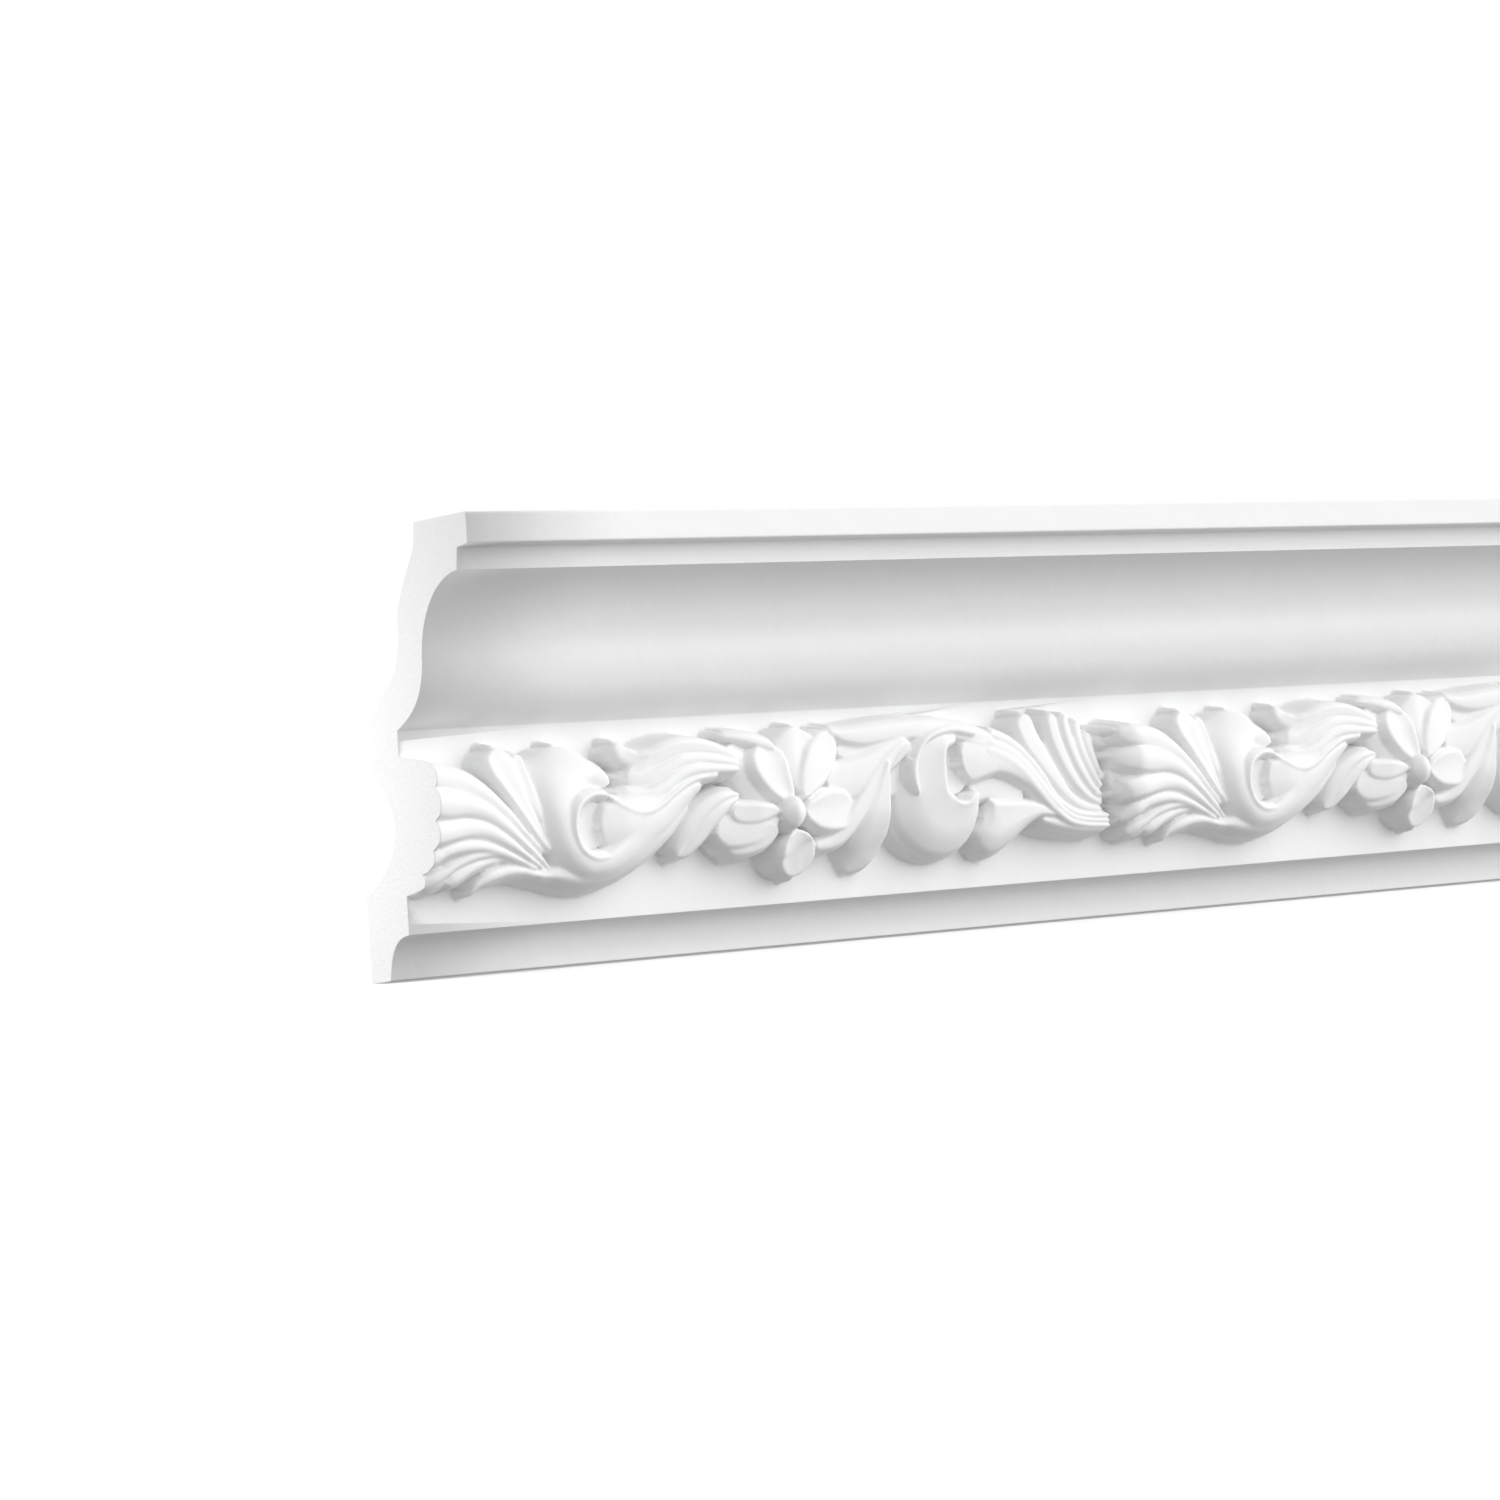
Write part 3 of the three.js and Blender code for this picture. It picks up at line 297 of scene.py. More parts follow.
def drop_scroll():
    """Stem that swells into a drop and curls in on itself"""
    return [
        leaf([(108.7, 38, 3.4, 10.6), (114.3, 38, 4.2, 11.2), (121, 40, 4, 11.6), (126.9, 43.2, 3.2, 11.8),
              (132.8, 46, 2, 12)], -0.5, -0.8),
        leaf([(105.1, 23.5, 1.4, 9.4), (109.2, 24, 1.7, 10), (112.6, 25.8, 2, 10.8), (116, 29.6, 2.2, 11.6),
              (119.7, 34.4, 2.2, 12), (123.6, 39.5, 2, 12.2), (127.5, 43.6, 1.5, 12.4),
              (131.5, 46.4, 1, 12.4)], -0.5, -0.5),
        leaf([(125.3, 41.8, 0.7, 12.8), (123.5, 36, 2.4, 12.6), (121.8, 30.4, 4.1, 12),
              (121, 25.4, 4.8, 9.8), (120.3, 20.8, 4.2, 6.4), (118.6, 16.6, 2.2, 2.6)], 0.2, -1.8),
        leaf([(113.4, 45.6, 1.4, 8.4), (119, 44.6, 2.6, 9), (124.4, 45.6, 2.6, 9.8),
              (130.8, 47.6, 1.8, 10.6)], -0.4, -0.4),
        leaf([(111, 50, 0.9, 9.6), (115.1, 48.7, 1.6, 10.2), (120.6, 48.4, 2.2, 10.8),
              (128.4, 49, 2.2, 11.2), (136.1, 49.2, 2.1, 11.6), (143.8, 48.7, 2.1, 12),
              (150.5, 47.4, 2.1, 12.4), (157.3, 45, 2, 12.6)], -0.5, -0.3),
        leaf([(127.5, 34, 3, 8.6), (129.6, 39, 3.4, 9.2), (132.4, 43.6, 3, 10)], -0.6, -0.6),
        leaf([(146, 47.6, 1.8, 12.4), (141.9, 47.2, 2.8, 12.6), (138.9, 45.4, 4.2, 12.6),
              (136.8, 42, 5.4, 12.4), (136, 37.3, 6.2, 12.2), (136, 32.9, 6.8, 12),
              (137.5, 29.3, 7.2, 11.8), (140.7, 26.7, 7.4, 11.6), (144.6, 25.6, 7.1, 11.6),
              (148.5, 26.6, 6, 11.8), (151.3, 29.4, 4, 12),
              (152.5, 33.4, 1.8, 12.2)], 0.2, -3, tilt=1.8, edge=1.4),
        leaf([(134.3, 34.2, 0.5, 12.6), (133, 38, 0.7, 13.2), (133.5, 42, 0.8, 13.4),
              (136.2, 46, 0.9, 13.4), (140.2, 48, 1, 13.4), (145.7, 48.6, 1.1, 13.4),
              (151.8, 47.4, 1.2, 13.2)], -0.5, -0.9),
        leaf([(147.2, 46.5, 4, 8), (146.6, 40, 4.4, 8.2), (147.6, 33, 4.4, 8.4)], 0, 0, tilt=1.6),
        leaf([(147.8, 40.4, 5, 12.2), (150.4, 41, 5, 12.5), (154.2, 41.4, 4.6, 12.8),
              (159.2, 41.2, 3.6, 12.8), (165.3, 38.4, 2.5, 12.6), (171.8, 33.6, 1.8, 12),
              (178.3, 28.6, 1.1, 11.4)], -0.6, -0.6, tip=0.6),
        *row(3,
             [(156.5, 47.2, 1.3, 12.4), (162.5, 44.8, 1.5, 12.4), (167.6, 41.4, 1.4, 12.2),
              (172.3, 36.6, 1.3, 12), (177.3, 30.8, 1.1, 11.4), (182.8, 27.2, 1, 10.8),
              (188.3, 26, 0.9, 10.2), (194.7, 25.6, 0.8, 9.8)],
             [(155.2, 43.4, 1.4, 12.8), (161.2, 41.2, 1.5, 12.8), (166.3, 37.8, 1.4, 12.6),
              (171.1, 33.2, 1.3, 12.2), (176.1, 28.6, 1.1, 11.6), (181.8, 25, 1, 10.8),
              (188, 23.7, 0.9, 10), (194.9, 23.2, 0.8, 9.6)], -0.5, -0.8),
        leaf([(152, 34.2, 3.6, 8.8), (159, 34.6, 3.2, 9.2), (168, 31.2, 2.4, 9.6)], -0.4, -0.4),
        leaf([(179, 26.4, 0.8, 10.6), (172.6, 27.6, 2.2, 11), (167.3, 26.8, 4.2, 10.8),
              (162.5, 25.4, 5.8, 10.5), (158.5, 24.6, 6.7, 9.9), (155.6, 24.9, 6, 8.4),
              (154.8, 25.2, 4.8, 6.6)], -3.6, 0.3, edge=1.6),
        leaf([(173.6, 25.8, 1, 9.8), (178.6, 24.7, 1.4, 9.8), (186, 23.4, 1.5, 9.4),
              (194.4, 22.9, 1.4, 9)], -0.3, -1.2),
    ]


def right_spray():
    """Fan of upright blades, and the curled tips of the next spray"""
    return [
        leaf([(194, 29, 1, 8.2), (186.8, 36, 4.5, 8.4), (181.9, 42.6, 6.2, 7.6),
              (180.7, 46.4, 6.2, 6.8)], 0, 0),
        leaf([(192.8, 27.2, 0.91, 9.6), (187.2, 28.5, 1.14, 9.8), (182.5, 31.4, 1.37, 10),
              (178.7, 35.9, 1.82, 10), (175.1, 41.3, 2.28, 9.6), (172.2, 46, 2.74, 9),
              (170.5, 51.6, 2.74, 8.2)], 0, -0.7),
        leaf([(193, 28.9, 0.8, 9.4), (189.8, 30.3, 0.91, 9.6), (186.7, 32.9, 1.14, 9.8),
              (183.6, 37.1, 1.48, 9.8), (181.4, 41.9, 1.71, 9.4), (180.1, 46, 1.82, 9),
              (179.5, 51.4, 1.82, 8.2)], 0, -0.7),
        leaf([(193.2, 31, 0.68, 9.2), (190.5, 33, 0.91, 9.4), (187.6, 37, 1.14, 9.6),
              (185.4, 41.8, 1.25, 9.2), (184.1, 46.5, 1.37, 8.8), (183.8, 50.8, 1.25, 8.2)], 0, -0.6),
        leaf([(193.7, 33, 0.68, 9), (192, 35, 0.91, 9.2), (189.5, 39.8, 1.14, 9), (188.2, 44.6, 1.25, 8.4),
              (187.9, 49.2, 1.25, 7.6)], 0, -0.6),
        leaf([(194.7, 35, 0.68, 8.6), (193.2, 38, 1.03, 8.4), (192.3, 42, 1.25, 7.6),
              (192.1, 46.2, 1.48, 6.6)], 0, -0.8),
        leaf([(202.3, 43.6, 1.8, 12.6), (198.9, 43.6, 1.8, 10.8), (196.3, 43.8, 1.7, 8.6),
              (194.1, 44.4, 1.5, 6.4)], -0.5, -0.8),
        leaf([(201.2, 36.4, 2.2, 12.8), (198.9, 36.4, 2.4, 11.4), (196.9, 36.6, 2.4, 9.6),
              (195.2, 37, 2, 8)], -0.5, -0.8),
        leaf([(201.5, 29.6, 3.8, 12.4), (199.4, 29, 4.2, 10.8), (197.9, 28.4, 4, 8.8),
              (196.7, 28.2, 3.2, 7.2)], -0.9, -0.8),
        leaf([(206.9, 23.4, 2.6, 9.6), (203.7, 22.4, 2.6, 8), (201.1, 22, 2.2, 6.2)], -0.9, -0.6),
    ]


def spline(stations, count):
    """Points of a smooth curve through the stations"""
    p = np.array(stations, float)
    last = len(p) - 1
    q = np.vstack([p[:1], p, p[-1:]])
    place = np.linspace(0, last, count + 1)
    k = np.minimum(place.astype(int), last - 1)
    t = (place - k)[:, None]
    a, b, c, d = q[k], q[k + 1], q[k + 2], q[k + 3]
    return 0.5 * (2 * b + (c - a) * t + (2 * a - 5 * b + 4 * c - d) * t**2 + (3 * b - a - 3 * c + d) * t**3)


def nearest(spine, along, up):
    """For each point, the index of the nearest point of the spine and the way to it"""
    far = (along[:, None] - spine[:, 0]) ** 2 + (up[:, None] - spine[:, 1]) ** 2
    k = far.argmin(axis=1)
    return k, far[np.arange(len(k)), k], along - spine[k, 0], up - spine[k, 1]


def leaf_height(form, spine, along, up, slope):
    """Height of one leaf over points of the sheet, falling steeply away outside it"""
    ahead = np.gradient(spine[:, :2], axis=0)
    step = np.hypot(ahead[:, 0], ahead[:, 1])
    ahead = ahead / step[:, None]
    run = np.cumsum(step) - step[0]
    from_end = np.minimum(run / spine[0, 2], (run[-1] - run) / spine[-1, 2])
    rounded = np.sqrt(1 - np.clip(1 - from_end / form["tip"], 0, 1) ** 2)
    k, _, right, above = nearest(spine, along, up)
    forward = right * ahead[k, 0] + above * ahead[k, 1]
    aside = above * ahead[k, 0] - right * ahead[k, 1]
    place = np.clip(k + forward / step[k], 0, len(spine) - 1)
    index = np.arange(len(spine))
    wide = np.interp(place, index, np.maximum(spine[:, 2] * rounded, TIP_WIDTH))
    full = np.interp(place, index, spine[:, 2])
    high = np.interp(place, index, spine[:, 3])
    past_first = np.where((k == 0) & (forward < 0), -forward, 0)
    past_last = np.where((k == len(spine) - 1) & (forward > 0), forward, 0)
    off = np.hypot(past_first + past_last, np.maximum(np.abs(aside) - wide, 0))
    across = np.clip(aside / full, -1, 1)
    bend = np.where(across > 0, form["left"], form["right"]) * across**2 + form["tilt"] * across
    crease = form["groove"] * np.exp(-(((across - form["groove_at"]) / CREASE_WIDTH) ** 2))
    rim = np.clip((np.abs(aside) - (wide - form["edge"])) / form["edge"], 0, RIM_LIMIT)
    rounding = form["edge"] * (1 - np.sqrt(1 - rim**2)) * (full > form["edge"])
    fall = form["shoulder"] * np.minimum(off, SHOULDER) + slope * np.maximum(off - SHOULDER, 0)
    return high + bend - crease - rounding - fall


def soft_max(a, b, soft):
    """The greater of two heights, rounded over where they are close"""
    share = np.clip(0.5 + 0.5 * (a - b) / soft, 0, 1)
    return b + (a - b) * share + soft * share * (1 - share)


def carve(along, up, slope, soft):
    """Height of the whole ornament over points of the sheet, one full turn of it"""
    height = np.zeros(along.shape)
    leaves = left_spray() + curled_leaf() + flower() + drop_scroll() + right_spray()
    for form in leaves:
        line = spline(form["stations"], SPINE_STEPS)
        reach = line[:, 2].max() * (3 if form["hollow"] else 1) + line[:, 3].max() / slope + 1
        low, high = line[:, :2].min(axis=0) - reach, line[:, :2].max(axis=0) + reach
        for turn in (-SHEET_REPEAT, 0, SHEET_REPEAT):
            x = along - turn
            near = (x > low[0]) & (x < high[0]) & (up > low[1]) & (up < high[1])
            if not near.any():
                continue
            here = height[near]
            if form["hollow"]:
                k, far, _, _ = nearest(line, x[near], up[near])
                depth = line[k, 3] * np.exp(-far / line[k, 2] ** 2)
                height[near] = np.maximum(here - depth, 0)
            else:
                height[near] = soft_max(here, leaf_height(form, line, x[near], up[near], slope), soft)
    return height


def bezier(a, b, c, d, steps):
    """Points along a cubic curve, without its first one"""
    t = np.linspace(0, 1, steps + 1)[1:, None]
    a, b, c, d = (np.array(p) for p in (a, b, c, d))
    return (1 - t) ** 3 * a + 3 * (1 - t) ** 2 * t * b + 3 * (1 - t) * t**2 * c + t**3 * d


def frieze_ends():
    """Foot and head of the flat frieze, as (out from the wall, up from the foot)"""
    foot_up = HEIGHT - FASCIA_TALL - SOFFIT_RISE - FILLET_TALL - CYMA_TALL - FRIEZE_TALL
    foot = np.array((FOOT_DEEP + COVE_DEEP, foot_up))
    return foot, foot + (FRIEZE_LEAN, FRIEZE_TALL)


def front_below(steps):
    """Profile from the wall along the underside and up the lower cove"""
    foot, _ = frieze_ends()
    curve = bezier(
        (FOOT_DEEP, FOOT_RISE), (FOOT_DEEP + 1, foot[1] * 0.67),
        (FOOT_DEEP + COVE_DEEP * 0.4, foot[1] * 0.97), foot, steps)
    return np.vstack([(0, 0), (FOOT_DEEP, FOOT_RISE), curve])


def front_above(steps):
    """Profile from the frieze's head over the double curve, fillet and fascia to the ceiling"""
    _, head = frieze_ends()
    fillet_head = np.array((DEPTH - SOFFIT_DEEP, HEIGHT - FASCIA_TALL - SOFFIT_RISE))
    fillet_foot = fillet_head - (FILLET_LEAN, FILLET_TALL)
    rise = fillet_foot[1] - head[1]
    waist = head + (fillet_foot - head) * (0.43, 0.47)
    low = bezier(
        head, head + (rise * 0.24, rise * 0.09), (waist[0] - 0.6, head[1] + rise * 0.21), waist, steps)
    top = fillet_foot - (0, SOFFIT_RISE)
    high = bezier(
        waist, waist + (0.6, rise * 0.24), (waist[0] + rise * 0.21, fillet_foot[1] - 1.2), top, steps)
    fascia = [(DEPTH, HEIGHT - FASCIA_TALL), (DEPTH, HEIGHT)]
    return np.vstack([head, low, high, fillet_foot, fillet_head, fascia])


def wavy_back(front):
    """The hollow back, from the ceiling strip down to the wall strip"""
    stations = [(DEPTH - CEILING_FLAT, HEIGHT)]
    for share, thick in BACK:
        up = WALL_FLAT + (HEIGHT - WALL_FLAT) * share
        stations.append((max(np.interp(up, front[:, 1], front[:, 0]) - thick, 0.1), up))
    stations.append((0, WALL_FLAT))
    return spline(stations, len(stations) * BACK_STEPS)


def ease_corners(points, radius, steps=4):
    """The same line with each sharp corner rounded, and a point beside it that keeps the flats flat"""
    made = [points[0]]
    for before, corner, after in zip(points, points[1:], points[2:]):
        back, ahead = before - corner, after - corner
        short = min(np.hypot(*back), np.hypot(*ahead))
        back, ahead = back / np.hypot(*back), ahead / np.hypot(*ahead)
        if back @ ahead < NEARLY_STRAIGHT:
            made.append(corner)
            continue
        reach = min(radius, 0.3 * short)
        made.append(corner + back * reach * 1.5)
        for t in np.linspace(0, 1, steps + 1):
            made.append(corner + back * reach * (1 - t) ** 2 + ahead * reach * t**2)
        made.append(corner + ahead * reach * 1.5)
    return np.array([*made, points[-1]])


def band_up(row, cells):
    """Level of a row of the relief's grid"""
    foot, _ = frieze_ends()
    return foot[1] + MARGIN + (FRIEZE_TALL - 2 * MARGIN) * row / cells


def carved_heights(columns, cells, slope, soft):
    """Relief height at each corner of the grid over the frieze"""
    foot, _ = frieze_ends()
    along = np.linspace(0, LENGTH, columns + 1) % REPEAT * SHEET_REPEAT / REPEAT
    share = (band_up(np.arange(cells + 1), cells) - foot[1]) / FRIEZE_TALL
    grid = np.meshgrid(along, SHEET_FOOT + SHEET_TALL * share, indexing="ij")
    heights = carve(grid[0].ravel(), grid[1].ravel(), slope, soft)
    return heights.reshape(columns + 1, cells + 1)


def halving_gaps(height, cells):
    """How far the surface leaves the straight line at each point where a triangle could be halved"""
    gaps = np.zeros_like(height)
    size = 2
    while size <= cells:
        half, quarter = size // 2, size // 4
        for axis in (0, 1):
            h, g = (height, gaps) if axis == 0 else (height.T, gaps.T)
            found = np.abs(h[half::size, ::size] - (h[:-1:size, ::size] + h[size::size, ::size]) / 2)
            if quarter:
                centres = g[quarter::half, quarter::half]
                beside = np.maximum(centres[::2], centres[1::2])
                found[:, 1:] = np.maximum(found[:, 1:], beside[:, 1::2])
                found[:, :-1] = np.maximum(found[:, :-1], beside[:, ::2])
            g[half::size, ::size] = found
        corner = height[::size, ::size]
        rising = (corner[:-1, :-1] + corner[1:, 1:]) / 2
        falling = (corner[1:, :-1] + corner[:-1, 1:]) / 2
        i, j = np.indices(rising.shape)
        straight = np.where(((i + j) % 2 == 0) | (size == cells), rising, falling)
        found = np.abs(height[half::size, half::size] - straight)
        level, upright = gaps[half::size, ::size], gaps[::size, half::size]
        sides = [level[:, 1:], level[:, :-1], upright[1:], upright[:-1]]
        gaps[half::size, half::size] = np.maximum.reduce([found, *sides])
        size *= 2
    return gaps


def halved_triangles(gaps, cells, tolerance):
    """Triangles of grid corners, halved until each lies close to the surface"""
    left = np.arange(0, len(gaps) - 1, cells)
    low, high = np.zeros_like(left), np.full_like(left, cells)
    low_left, low_right = np.stack([left, low], 1), np.stack([left + cells, low], 1)
    high_left, high_right = np.stack([left, high], 1), np.stack([left + cells, high], 1)
    a = np.vstack([high_right, low_left])
    b = np.vstack([low_left, high_right])
    apex = np.vstack([low_right, high_left])
    made = []
    for _ in range(2 * int(math.log2(cells))):
        centre = (a + b) // 2
        open_ = gaps[centre[:, 0], centre[:, 1]] > tolerance
        made.append(np.stack([a[~open_], b[~open_], apex[~open_]], 1))
        a, b, apex, centre = a[open_], b[open_], apex[open_], centre[open_]
        a, b, apex = np.vstack([apex, b]), np.vstack([a, apex]), np.vstack([centre, centre])
    made.append(np.stack([a, b, apex], 1))
    return np.vstack(made)


class Casting:
    """Gathers the corners and faces of the moulding in (along, out, up)"""

    def __init__(self, settings):
        self.cells = settings.cells
        self.bays = round(LENGTH / REPEAT * TILES)
        self.columns = self.bays * self.cells
        self.height = carved_heights(self.columns, self.cells, settings.wall_slope, settings.blend / MM)
        self.corners = []
        self.count = 0
        self.smooth = []
        self.flat = []

    def add_corners(self, places):
        """Adds corners and returns the number of the first"""
        first = self.count
        self.corners.append(places)
        self.count += len(places)
        return first

    def add_relief(self, tolerance):
        """The carved frieze; keeps which corners lie along each of its four sides"""
        triangles = halved_triangles(halving_gaps(self.height, self.cells), self.cells, tolerance)
        code = triangles[..., 0] * (self.cells + 1) + triangles[..., 1]
        used, faces = np.unique(code, return_inverse=True)
        column, row = np.divmod(used, self.cells + 1)
        foot, head = frieze_ends()
        up = band_up(row, self.cells)
        out = np.interp(up, (foot[1], head[1]), (foot[0], head[0])) + self.height[column, row]
        first = self.add_corners(np.stack([column * LENGTH / self.columns, out, up], 1))
        self.smooth += (faces.reshape(-1, 3) + first).tolist()
        self.grid = (column, row, first)

    def side(self, which, value):
        """Numbers of the relief's corners along one side, in order, and their place on it"""
        column, row, first = self.grid
        across, along = (row, column) if which == "row" else (column, row)
        found = np.flatnonzero(across == value)
        found = found[np.argsort(along[found])]
        return found + first, along[found]

    def add_run(self, points):
        """Straight parts of the profile, parted at the tiles' sides"""
        along = np.linspace(0, LENGTH, self.bays + 1)
        places = np.array([(x, out, up) for out, up in points for x in along])
        first = self.add_corners(places)
        wide = self.bays + 1
        for i in range(len(points) - 1):
            for bay in range(self.bays):
                a = first + i * wide + bay
                self.smooth.append([a, a + 1, a + 1 + wide, a + wide])
        return first, first + (len(points) - 1) * wide

    def add_seam(self, row, line, above):
        """The strip between the relief's edge and the nearest straight line of the profile"""
        numbers, columns = self.side("row", row)
        for bay in range(self.bays):
            inside = (columns >= bay * self.cells) & (columns <= (bay + 1) * self.cells)
            edge = numbers[inside].tolist()
            left, right = line + bay, line + bay + 1
            strip = [[edge[0], right, left], *([p, q, right] for p, q in zip(edge, edge[1:]))]
            self.smooth += strip if above else [face[::-1] for face in strip]

    def add_ends(self, start, stop):
        """The two sawn faces, each one flat polygon"""
        wide = self.bays + 1
        for column, shift in ((0, 0), (self.columns, self.bays)):
            relief, _ = self.side("column", column)
            outline = relief.tolist() + list(range(start + shift, stop + shift + 1, wide))
            self.flat.append(outline if column == 0 else outline[::-1])

    def mesh(self, name):
        """A closed mesh in the shared frame"""
        along, out, up = np.vstack(self.corners).T
        places = np.stack([along - LENGTH / 2, -out, up - WALL_FLAT / 2], 1) * MM
        made = bpy.data.meshes.new(name)
        made.from_pydata(places.tolist(), [], self.smooth + self.flat)
        shaded = [True] * len(self.smooth) + [False] * len(self.flat)
        made.polygons.foreach_set("use_smooth", shaded)
        return made


class Wire:
    """A value in a node tree, so that shader maths reads as plain sums"""

    def __init__(self, tree, socket):
        self.tree = tree
        self.socket = socket

    def sum(self, operation, *values):
        return add_node(self.tree, "ShaderNodeMath", {"operation": operation}, dict(enumerate(values)))

    def __add__(self, other):
        return self.sum("ADD", self, other)

    def __radd__(self, other):
        return self.sum("ADD", other, self)

    def __sub__(self, other):
        return self.sum("SUBTRACT", self, other)

    def __rsub__(self, other):
        return self.sum("SUBTRACT", other, self)

    def __mul__(self, other):
        return self.sum("MULTIPLY", self, other)

    def __rmul__(self, other):
        return self.sum("MULTIPLY", other, self)

    def __gt__(self, other):
        return self.sum("GREATER_THAN", self, other)

    def __abs__(self):
        return self.sum("ABSOLUTE", self)


def add_node(tree, kind, settings, inputs, output=0):
    """Adds a node, sets its settings, then fills its inputs with values or wires"""
    node = tree.nodes.new(kind)
    for name, value in settings.items():
        setattr(node, name, value)
    for name, value in inputs.items():
        if isinstance(value, Wire):
            tree.links.new(value.socket, node.inputs[name])
        else:
            node.inputs[name].default_value = value
    return Wire(tree, node.outputs[output]) if node.outputs else None


def rgba(colour):
    """The colour with full cover"""
    return (*colour, 1.0)


def mix_colours(tree, share, first, second):
    """The first colour where the share is nought, the second where it is one"""
    return add_node(
        tree, "ShaderNodeMix", {"data_type": "RGBA"}, {0: share, 6: first, 7: second}, output=2)


def smooth_step(tree, value, start, stop):
    """Nought below the start, one above the stop, and an eased rise between them"""
    return add_node(
        tree, "ShaderNodeMapRange", {"interpolation_type": "SMOOTHSTEP"},
        {"Value": value, "From Min": start, "From Max": stop})


def noise(tree, place, size, detail, roughness=0.5):
    """Noise about nought, of the given size in metres"""
    made = add_node(
        tree, "ShaderNodeTexNoise", {},
        {"Vector": place, "Scale": 1 / size, "Detail": detail, "Roughness": roughness})
    return made - 0.5


def white_cast_material(finish):
    """Matt white primer over a casting, with painted shade in its hollows and painted highlight on its
    crests, and fine pale foam where it is sawn, whitened there as painted light on the cut end
    """
    made = bpy.data.materials.new("white_cast")
    made.use_nodes = True
    tree = made.node_tree
    tree.nodes.clear()
    place = add_node(tree, "ShaderNodeTexCoord", {}, {}, output="Object")
    along = add_node(tree, "ShaderNodeSeparateXYZ", {}, {"Vector": place})
    sawn = abs(along) > (LENGTH / 2 - FACE_SKIN) * MM
    sway = noise(tree, place, finish.sway, 3)
    grain = noise(tree, place, finish.grain, 4, 0.65)
    # Painted shade and highlight: pointiness darkens the primer in hollows and lightens it on crests, as
    # light and shade would fall there.
    crest = add_node(tree, "ShaderNodeNewGeometry", {}, {}, output="Pointiness") - 0.5
    cell = add_node(
        tree, "ShaderNodeTexVoronoi", {"feature": "F1"}, {"Vector": place, "Scale": 1 / (FOAM_CELL * MM)},
        output="Distance")
    # The primer's colour: random sway and grain, plus the painted shade and highlight from pointiness.
    primer_with_painted_shade = add_node(
        tree, "ShaderNodeVectorMath", {"operation": "SCALE"},
        {0: finish.white, "Scale": 1 + sway * 0.03 + grain * 0.02 + crest * 0.25})
    # Foam on the sawn ends, with real pores, whitened as painted light on the cut end.
    foam = add_node(
        tree, "ShaderNodeVectorMath", {"operation": "SCALE"}, {0: finish.cut, "Scale": 1 - cell * 0.05})
    colour = mix_colours(tree, sawn, primer_with_painted_shade, foam)
    relief = grain * (1 - sawn) * 0.03 + sway * (1 - sawn) * 0.4 + cell * sawn * 0.08
    bump = add_node(
        tree, "ShaderNodeBump", {}, {"Strength": 1.0, "Distance": 1 * MM, "Height": relief})
    surface = add_node(
        tree, "ShaderNodeBsdfPrincipled", {},
        {"Base Color": colour, "Roughness": finish.roughness + grain * 0.1 + sway * 0.12 + sawn * 0.3,
         "Normal": bump, "IOR": 1.45})
    add_node(tree, "ShaderNodeOutputMaterial", {}, {"Surface": surface})
    return made


def floor_material(colour, glow):
    """Matt white that glows faintly, so that the floor runs into the backdrop"""
    made = bpy.data.materials.new("floor_white")
    made.use_nodes = True
    surface = made.node_tree.nodes["Principled BSDF"]
    surface.inputs["Base Color"].default_value = rgba(colour)
    surface.inputs["Roughness"].default_value = 1.0
    surface.inputs["Specular IOR Level"].default_value = 0.0
    surface.inputs["Emission Color"].default_value = rgba((1, 1, 1))
    surface.inputs["Emission Strength"].default_value = glow
    return made


def put_in_scene(name, data):
    """A new object with the given data"""
    made = bpy.data.objects.new(name, data)
    bpy.context.scene.collection.objects.link(made)
    return made


class CORNICE_OT_cast(Operator):
    """Cast the moulding with its carved frieze"""

    bl_idname = "cornice.cast"
    bl_label = "Cast moulding"

    def execute(self, context):
        profile = context.scene.cornice_profile
        steps = profile.curve_steps
        below, above = front_below(steps), front_above(steps)
        back = wavy_back(np.vstack([below, above]))
        foot, head = frieze_ends()
        inset = (head - foot) * MARGIN / FRIEZE_TALL
        line = np.vstack([head - inset, above, back, below, foot + inset])
        line = ease_corners(line, profile.corner / MM)[1:-1]
        casting = Casting(profile)
        casting.add_relief(profile.tolerance / MM)
        start, stop = casting.add_run(line)
        casting.add_seam(casting.cells, start, above=True)
        casting.add_seam(0, stop, above=False)
        casting.add_ends(start, stop)
        moulding = put_in_scene("cast_moulding", casting.mesh("cast_moulding"))
        moulding.data.materials.append(white_cast_material(context.scene.cornice_finish))
        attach(moulding, "root")
        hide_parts(NODE)
        return {"FINISHED"}


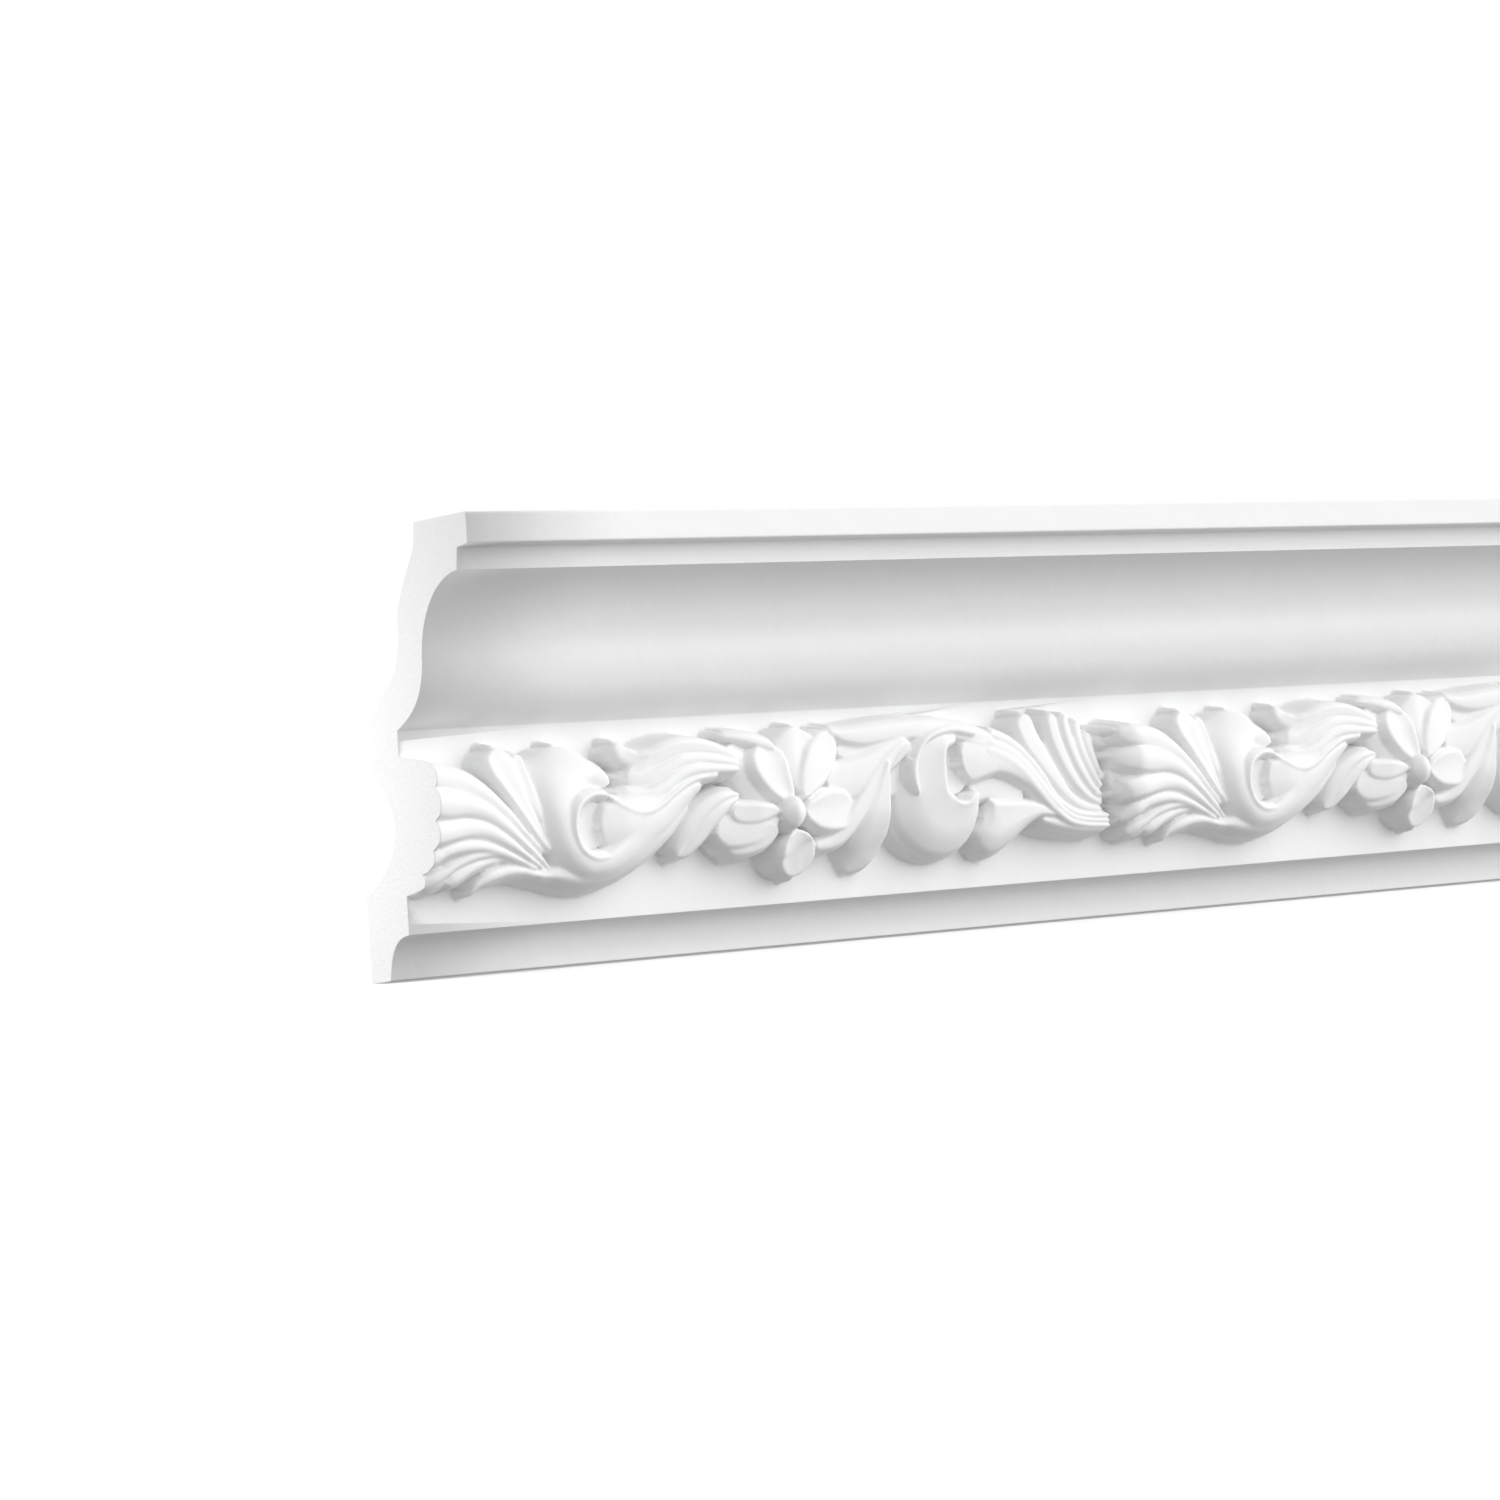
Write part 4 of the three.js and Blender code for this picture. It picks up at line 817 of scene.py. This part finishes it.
class CORNICE_OT_studio(Operator):
    """Set up the floor, the lights and the camera"""

    bl_idname = "cornice.studio"
    bl_label = "Set up studio"

    def execute(self, context):
        studio = context.scene.cornice_studio
        self.add_floor(studio)
        self.add_sky(context.scene, studio)
        self.add_light("key", "SUN", studio.key, studio.key_from, angle=studio.key_soft)
        end = self.add_light("end", "AREA", studio.end, (-1, 0.35, 0), size=END_LIGHT_SIDE)
        out, behind, above = END_LIGHT_PLACE
        end.location = Vector((-LENGTH / 2 * MM - out, behind, above))
        self.add_camera(context.scene, studio)
        return {"FINISHED"}

    def add_floor(self, studio):
        """A wide pale floor level with the foot of the moulding"""
        half, level = studio.floor_size / 2, -WALL_FLAT / 2 * MM
        sides = [(-half, -half, level), (half, -half, level), (half, half, level), (-half, half, level)]
        data = bpy.data.meshes.new("floor")
        data.from_pydata(sides, [], [(0, 1, 2, 3)])
        data.materials.append(floor_material(studio.floor_white, studio.floor_glow))
        floor = put_in_scene("floor", data)
        floor.visible_diffuse = False

    def add_sky(self, scene, studio):
        """Pale light from above, weaker from below, and a bright backdrop behind the wall side"""
        world = bpy.data.worlds.new("studio")
        world.use_nodes = True
        tree = world.node_tree
        tree.nodes.clear()
        way = add_node(tree, "ShaderNodeTexCoord", {}, {}, output="Generated")
        behind = add_node(tree, "ShaderNodeSeparateXYZ", {}, {"Vector": way}, output="Y")
        above = add_node(tree, "ShaderNodeSeparateXYZ", {}, {"Vector": way}, output="Z")
        rear = smooth_step(tree, behind, 0.1, 0.5)
        upper = smooth_step(tree, above, -0.02, 0.0)
        strength = studio.sky_low + upper * (studio.sky_high - studio.sky_low)
        strength = strength + upper * rear * (studio.backdrop - studio.sky_high)
        light = add_node(
            tree, "ShaderNodeBackground", {}, {"Color": (1.0, 1.0, 1.0, 1.0), "Strength": strength})
        add_node(tree, "ShaderNodeOutputWorld", {}, {"Surface": light})
        scene.world = world
        scene.view_settings.view_transform = "Standard"

    def add_light(self, name, kind, power, way, **more):
        """A light that shines from the given way toward the origin"""
        data = bpy.data.lights.new(name, kind)
        data.energy = power
        for key, value in more.items():
            setattr(data, key, value)
        light = put_in_scene(name, data)
        light.location = Vector(way).normalized() * 2
        light.rotation_euler = Vector(way).to_track_quat("Z", "Y").to_euler()
        light.visible_camera = False
        return light

    def add_camera(self, scene, studio):
        """The camera, out in front and to the left, level with the moulding"""
        data = bpy.data.cameras.new("camera")
        data.lens = studio.lens
        data.sensor_width = 36.0
        data.clip_start = 0.05
        camera = put_in_scene("camera", data)
        turn = Euler((0, 0, studio.camera_turn)).to_matrix()
        tilt = Euler((math.radians(90) + studio.camera_tilt, 0, 0)).to_matrix()
        roll = Euler((0, 0, studio.camera_roll)).to_matrix()
        camera.rotation_euler = (turn @ tilt @ roll).to_euler()
        camera.location = studio.camera_place
        scene.camera = camera


class CORNICE_PT_sidebar(Panel):
    """Settings and buttons for the cornice moulding"""

    bl_idname = "CORNICE_PT_sidebar"
    bl_label = "Cornice moulding"
    bl_space_type = "VIEW_3D"
    bl_region_type = "UI"
    bl_category = "Cornice"

    def draw(self, context):
        scene = context.scene
        for settings in (scene.cornice_profile, scene.cornice_finish, scene.cornice_studio):
            for name in settings.bl_rna.properties.keys():
                if name not in ("rna_type", "name"):
                    self.layout.prop(settings, name)
        self.layout.operator("cornice.cast")
        self.layout.operator("cornice.studio")


CLASSES = (
    ProfileSettings, FinishSettings, StudioSettings,
    CORNICE_OT_cast, CORNICE_OT_studio, CORNICE_PT_sidebar)


def register():
    for kind in CLASSES:
        bpy.utils.register_class(kind)
    bpy.types.Scene.cornice_profile = PointerProperty(type=ProfileSettings)
    bpy.types.Scene.cornice_finish = PointerProperty(type=FinishSettings)
    bpy.types.Scene.cornice_studio = PointerProperty(type=StudioSettings)


def unregister():
    del bpy.types.Scene.cornice_studio
    del bpy.types.Scene.cornice_finish
    del bpy.types.Scene.cornice_profile
    for kind in reversed(CLASSES):
        bpy.utils.unregister_class(kind)


def main():
    register()
    bpy.ops.cornice.cast()
    bpy.ops.cornice.studio()


if __name__ == "__main__":
    main()
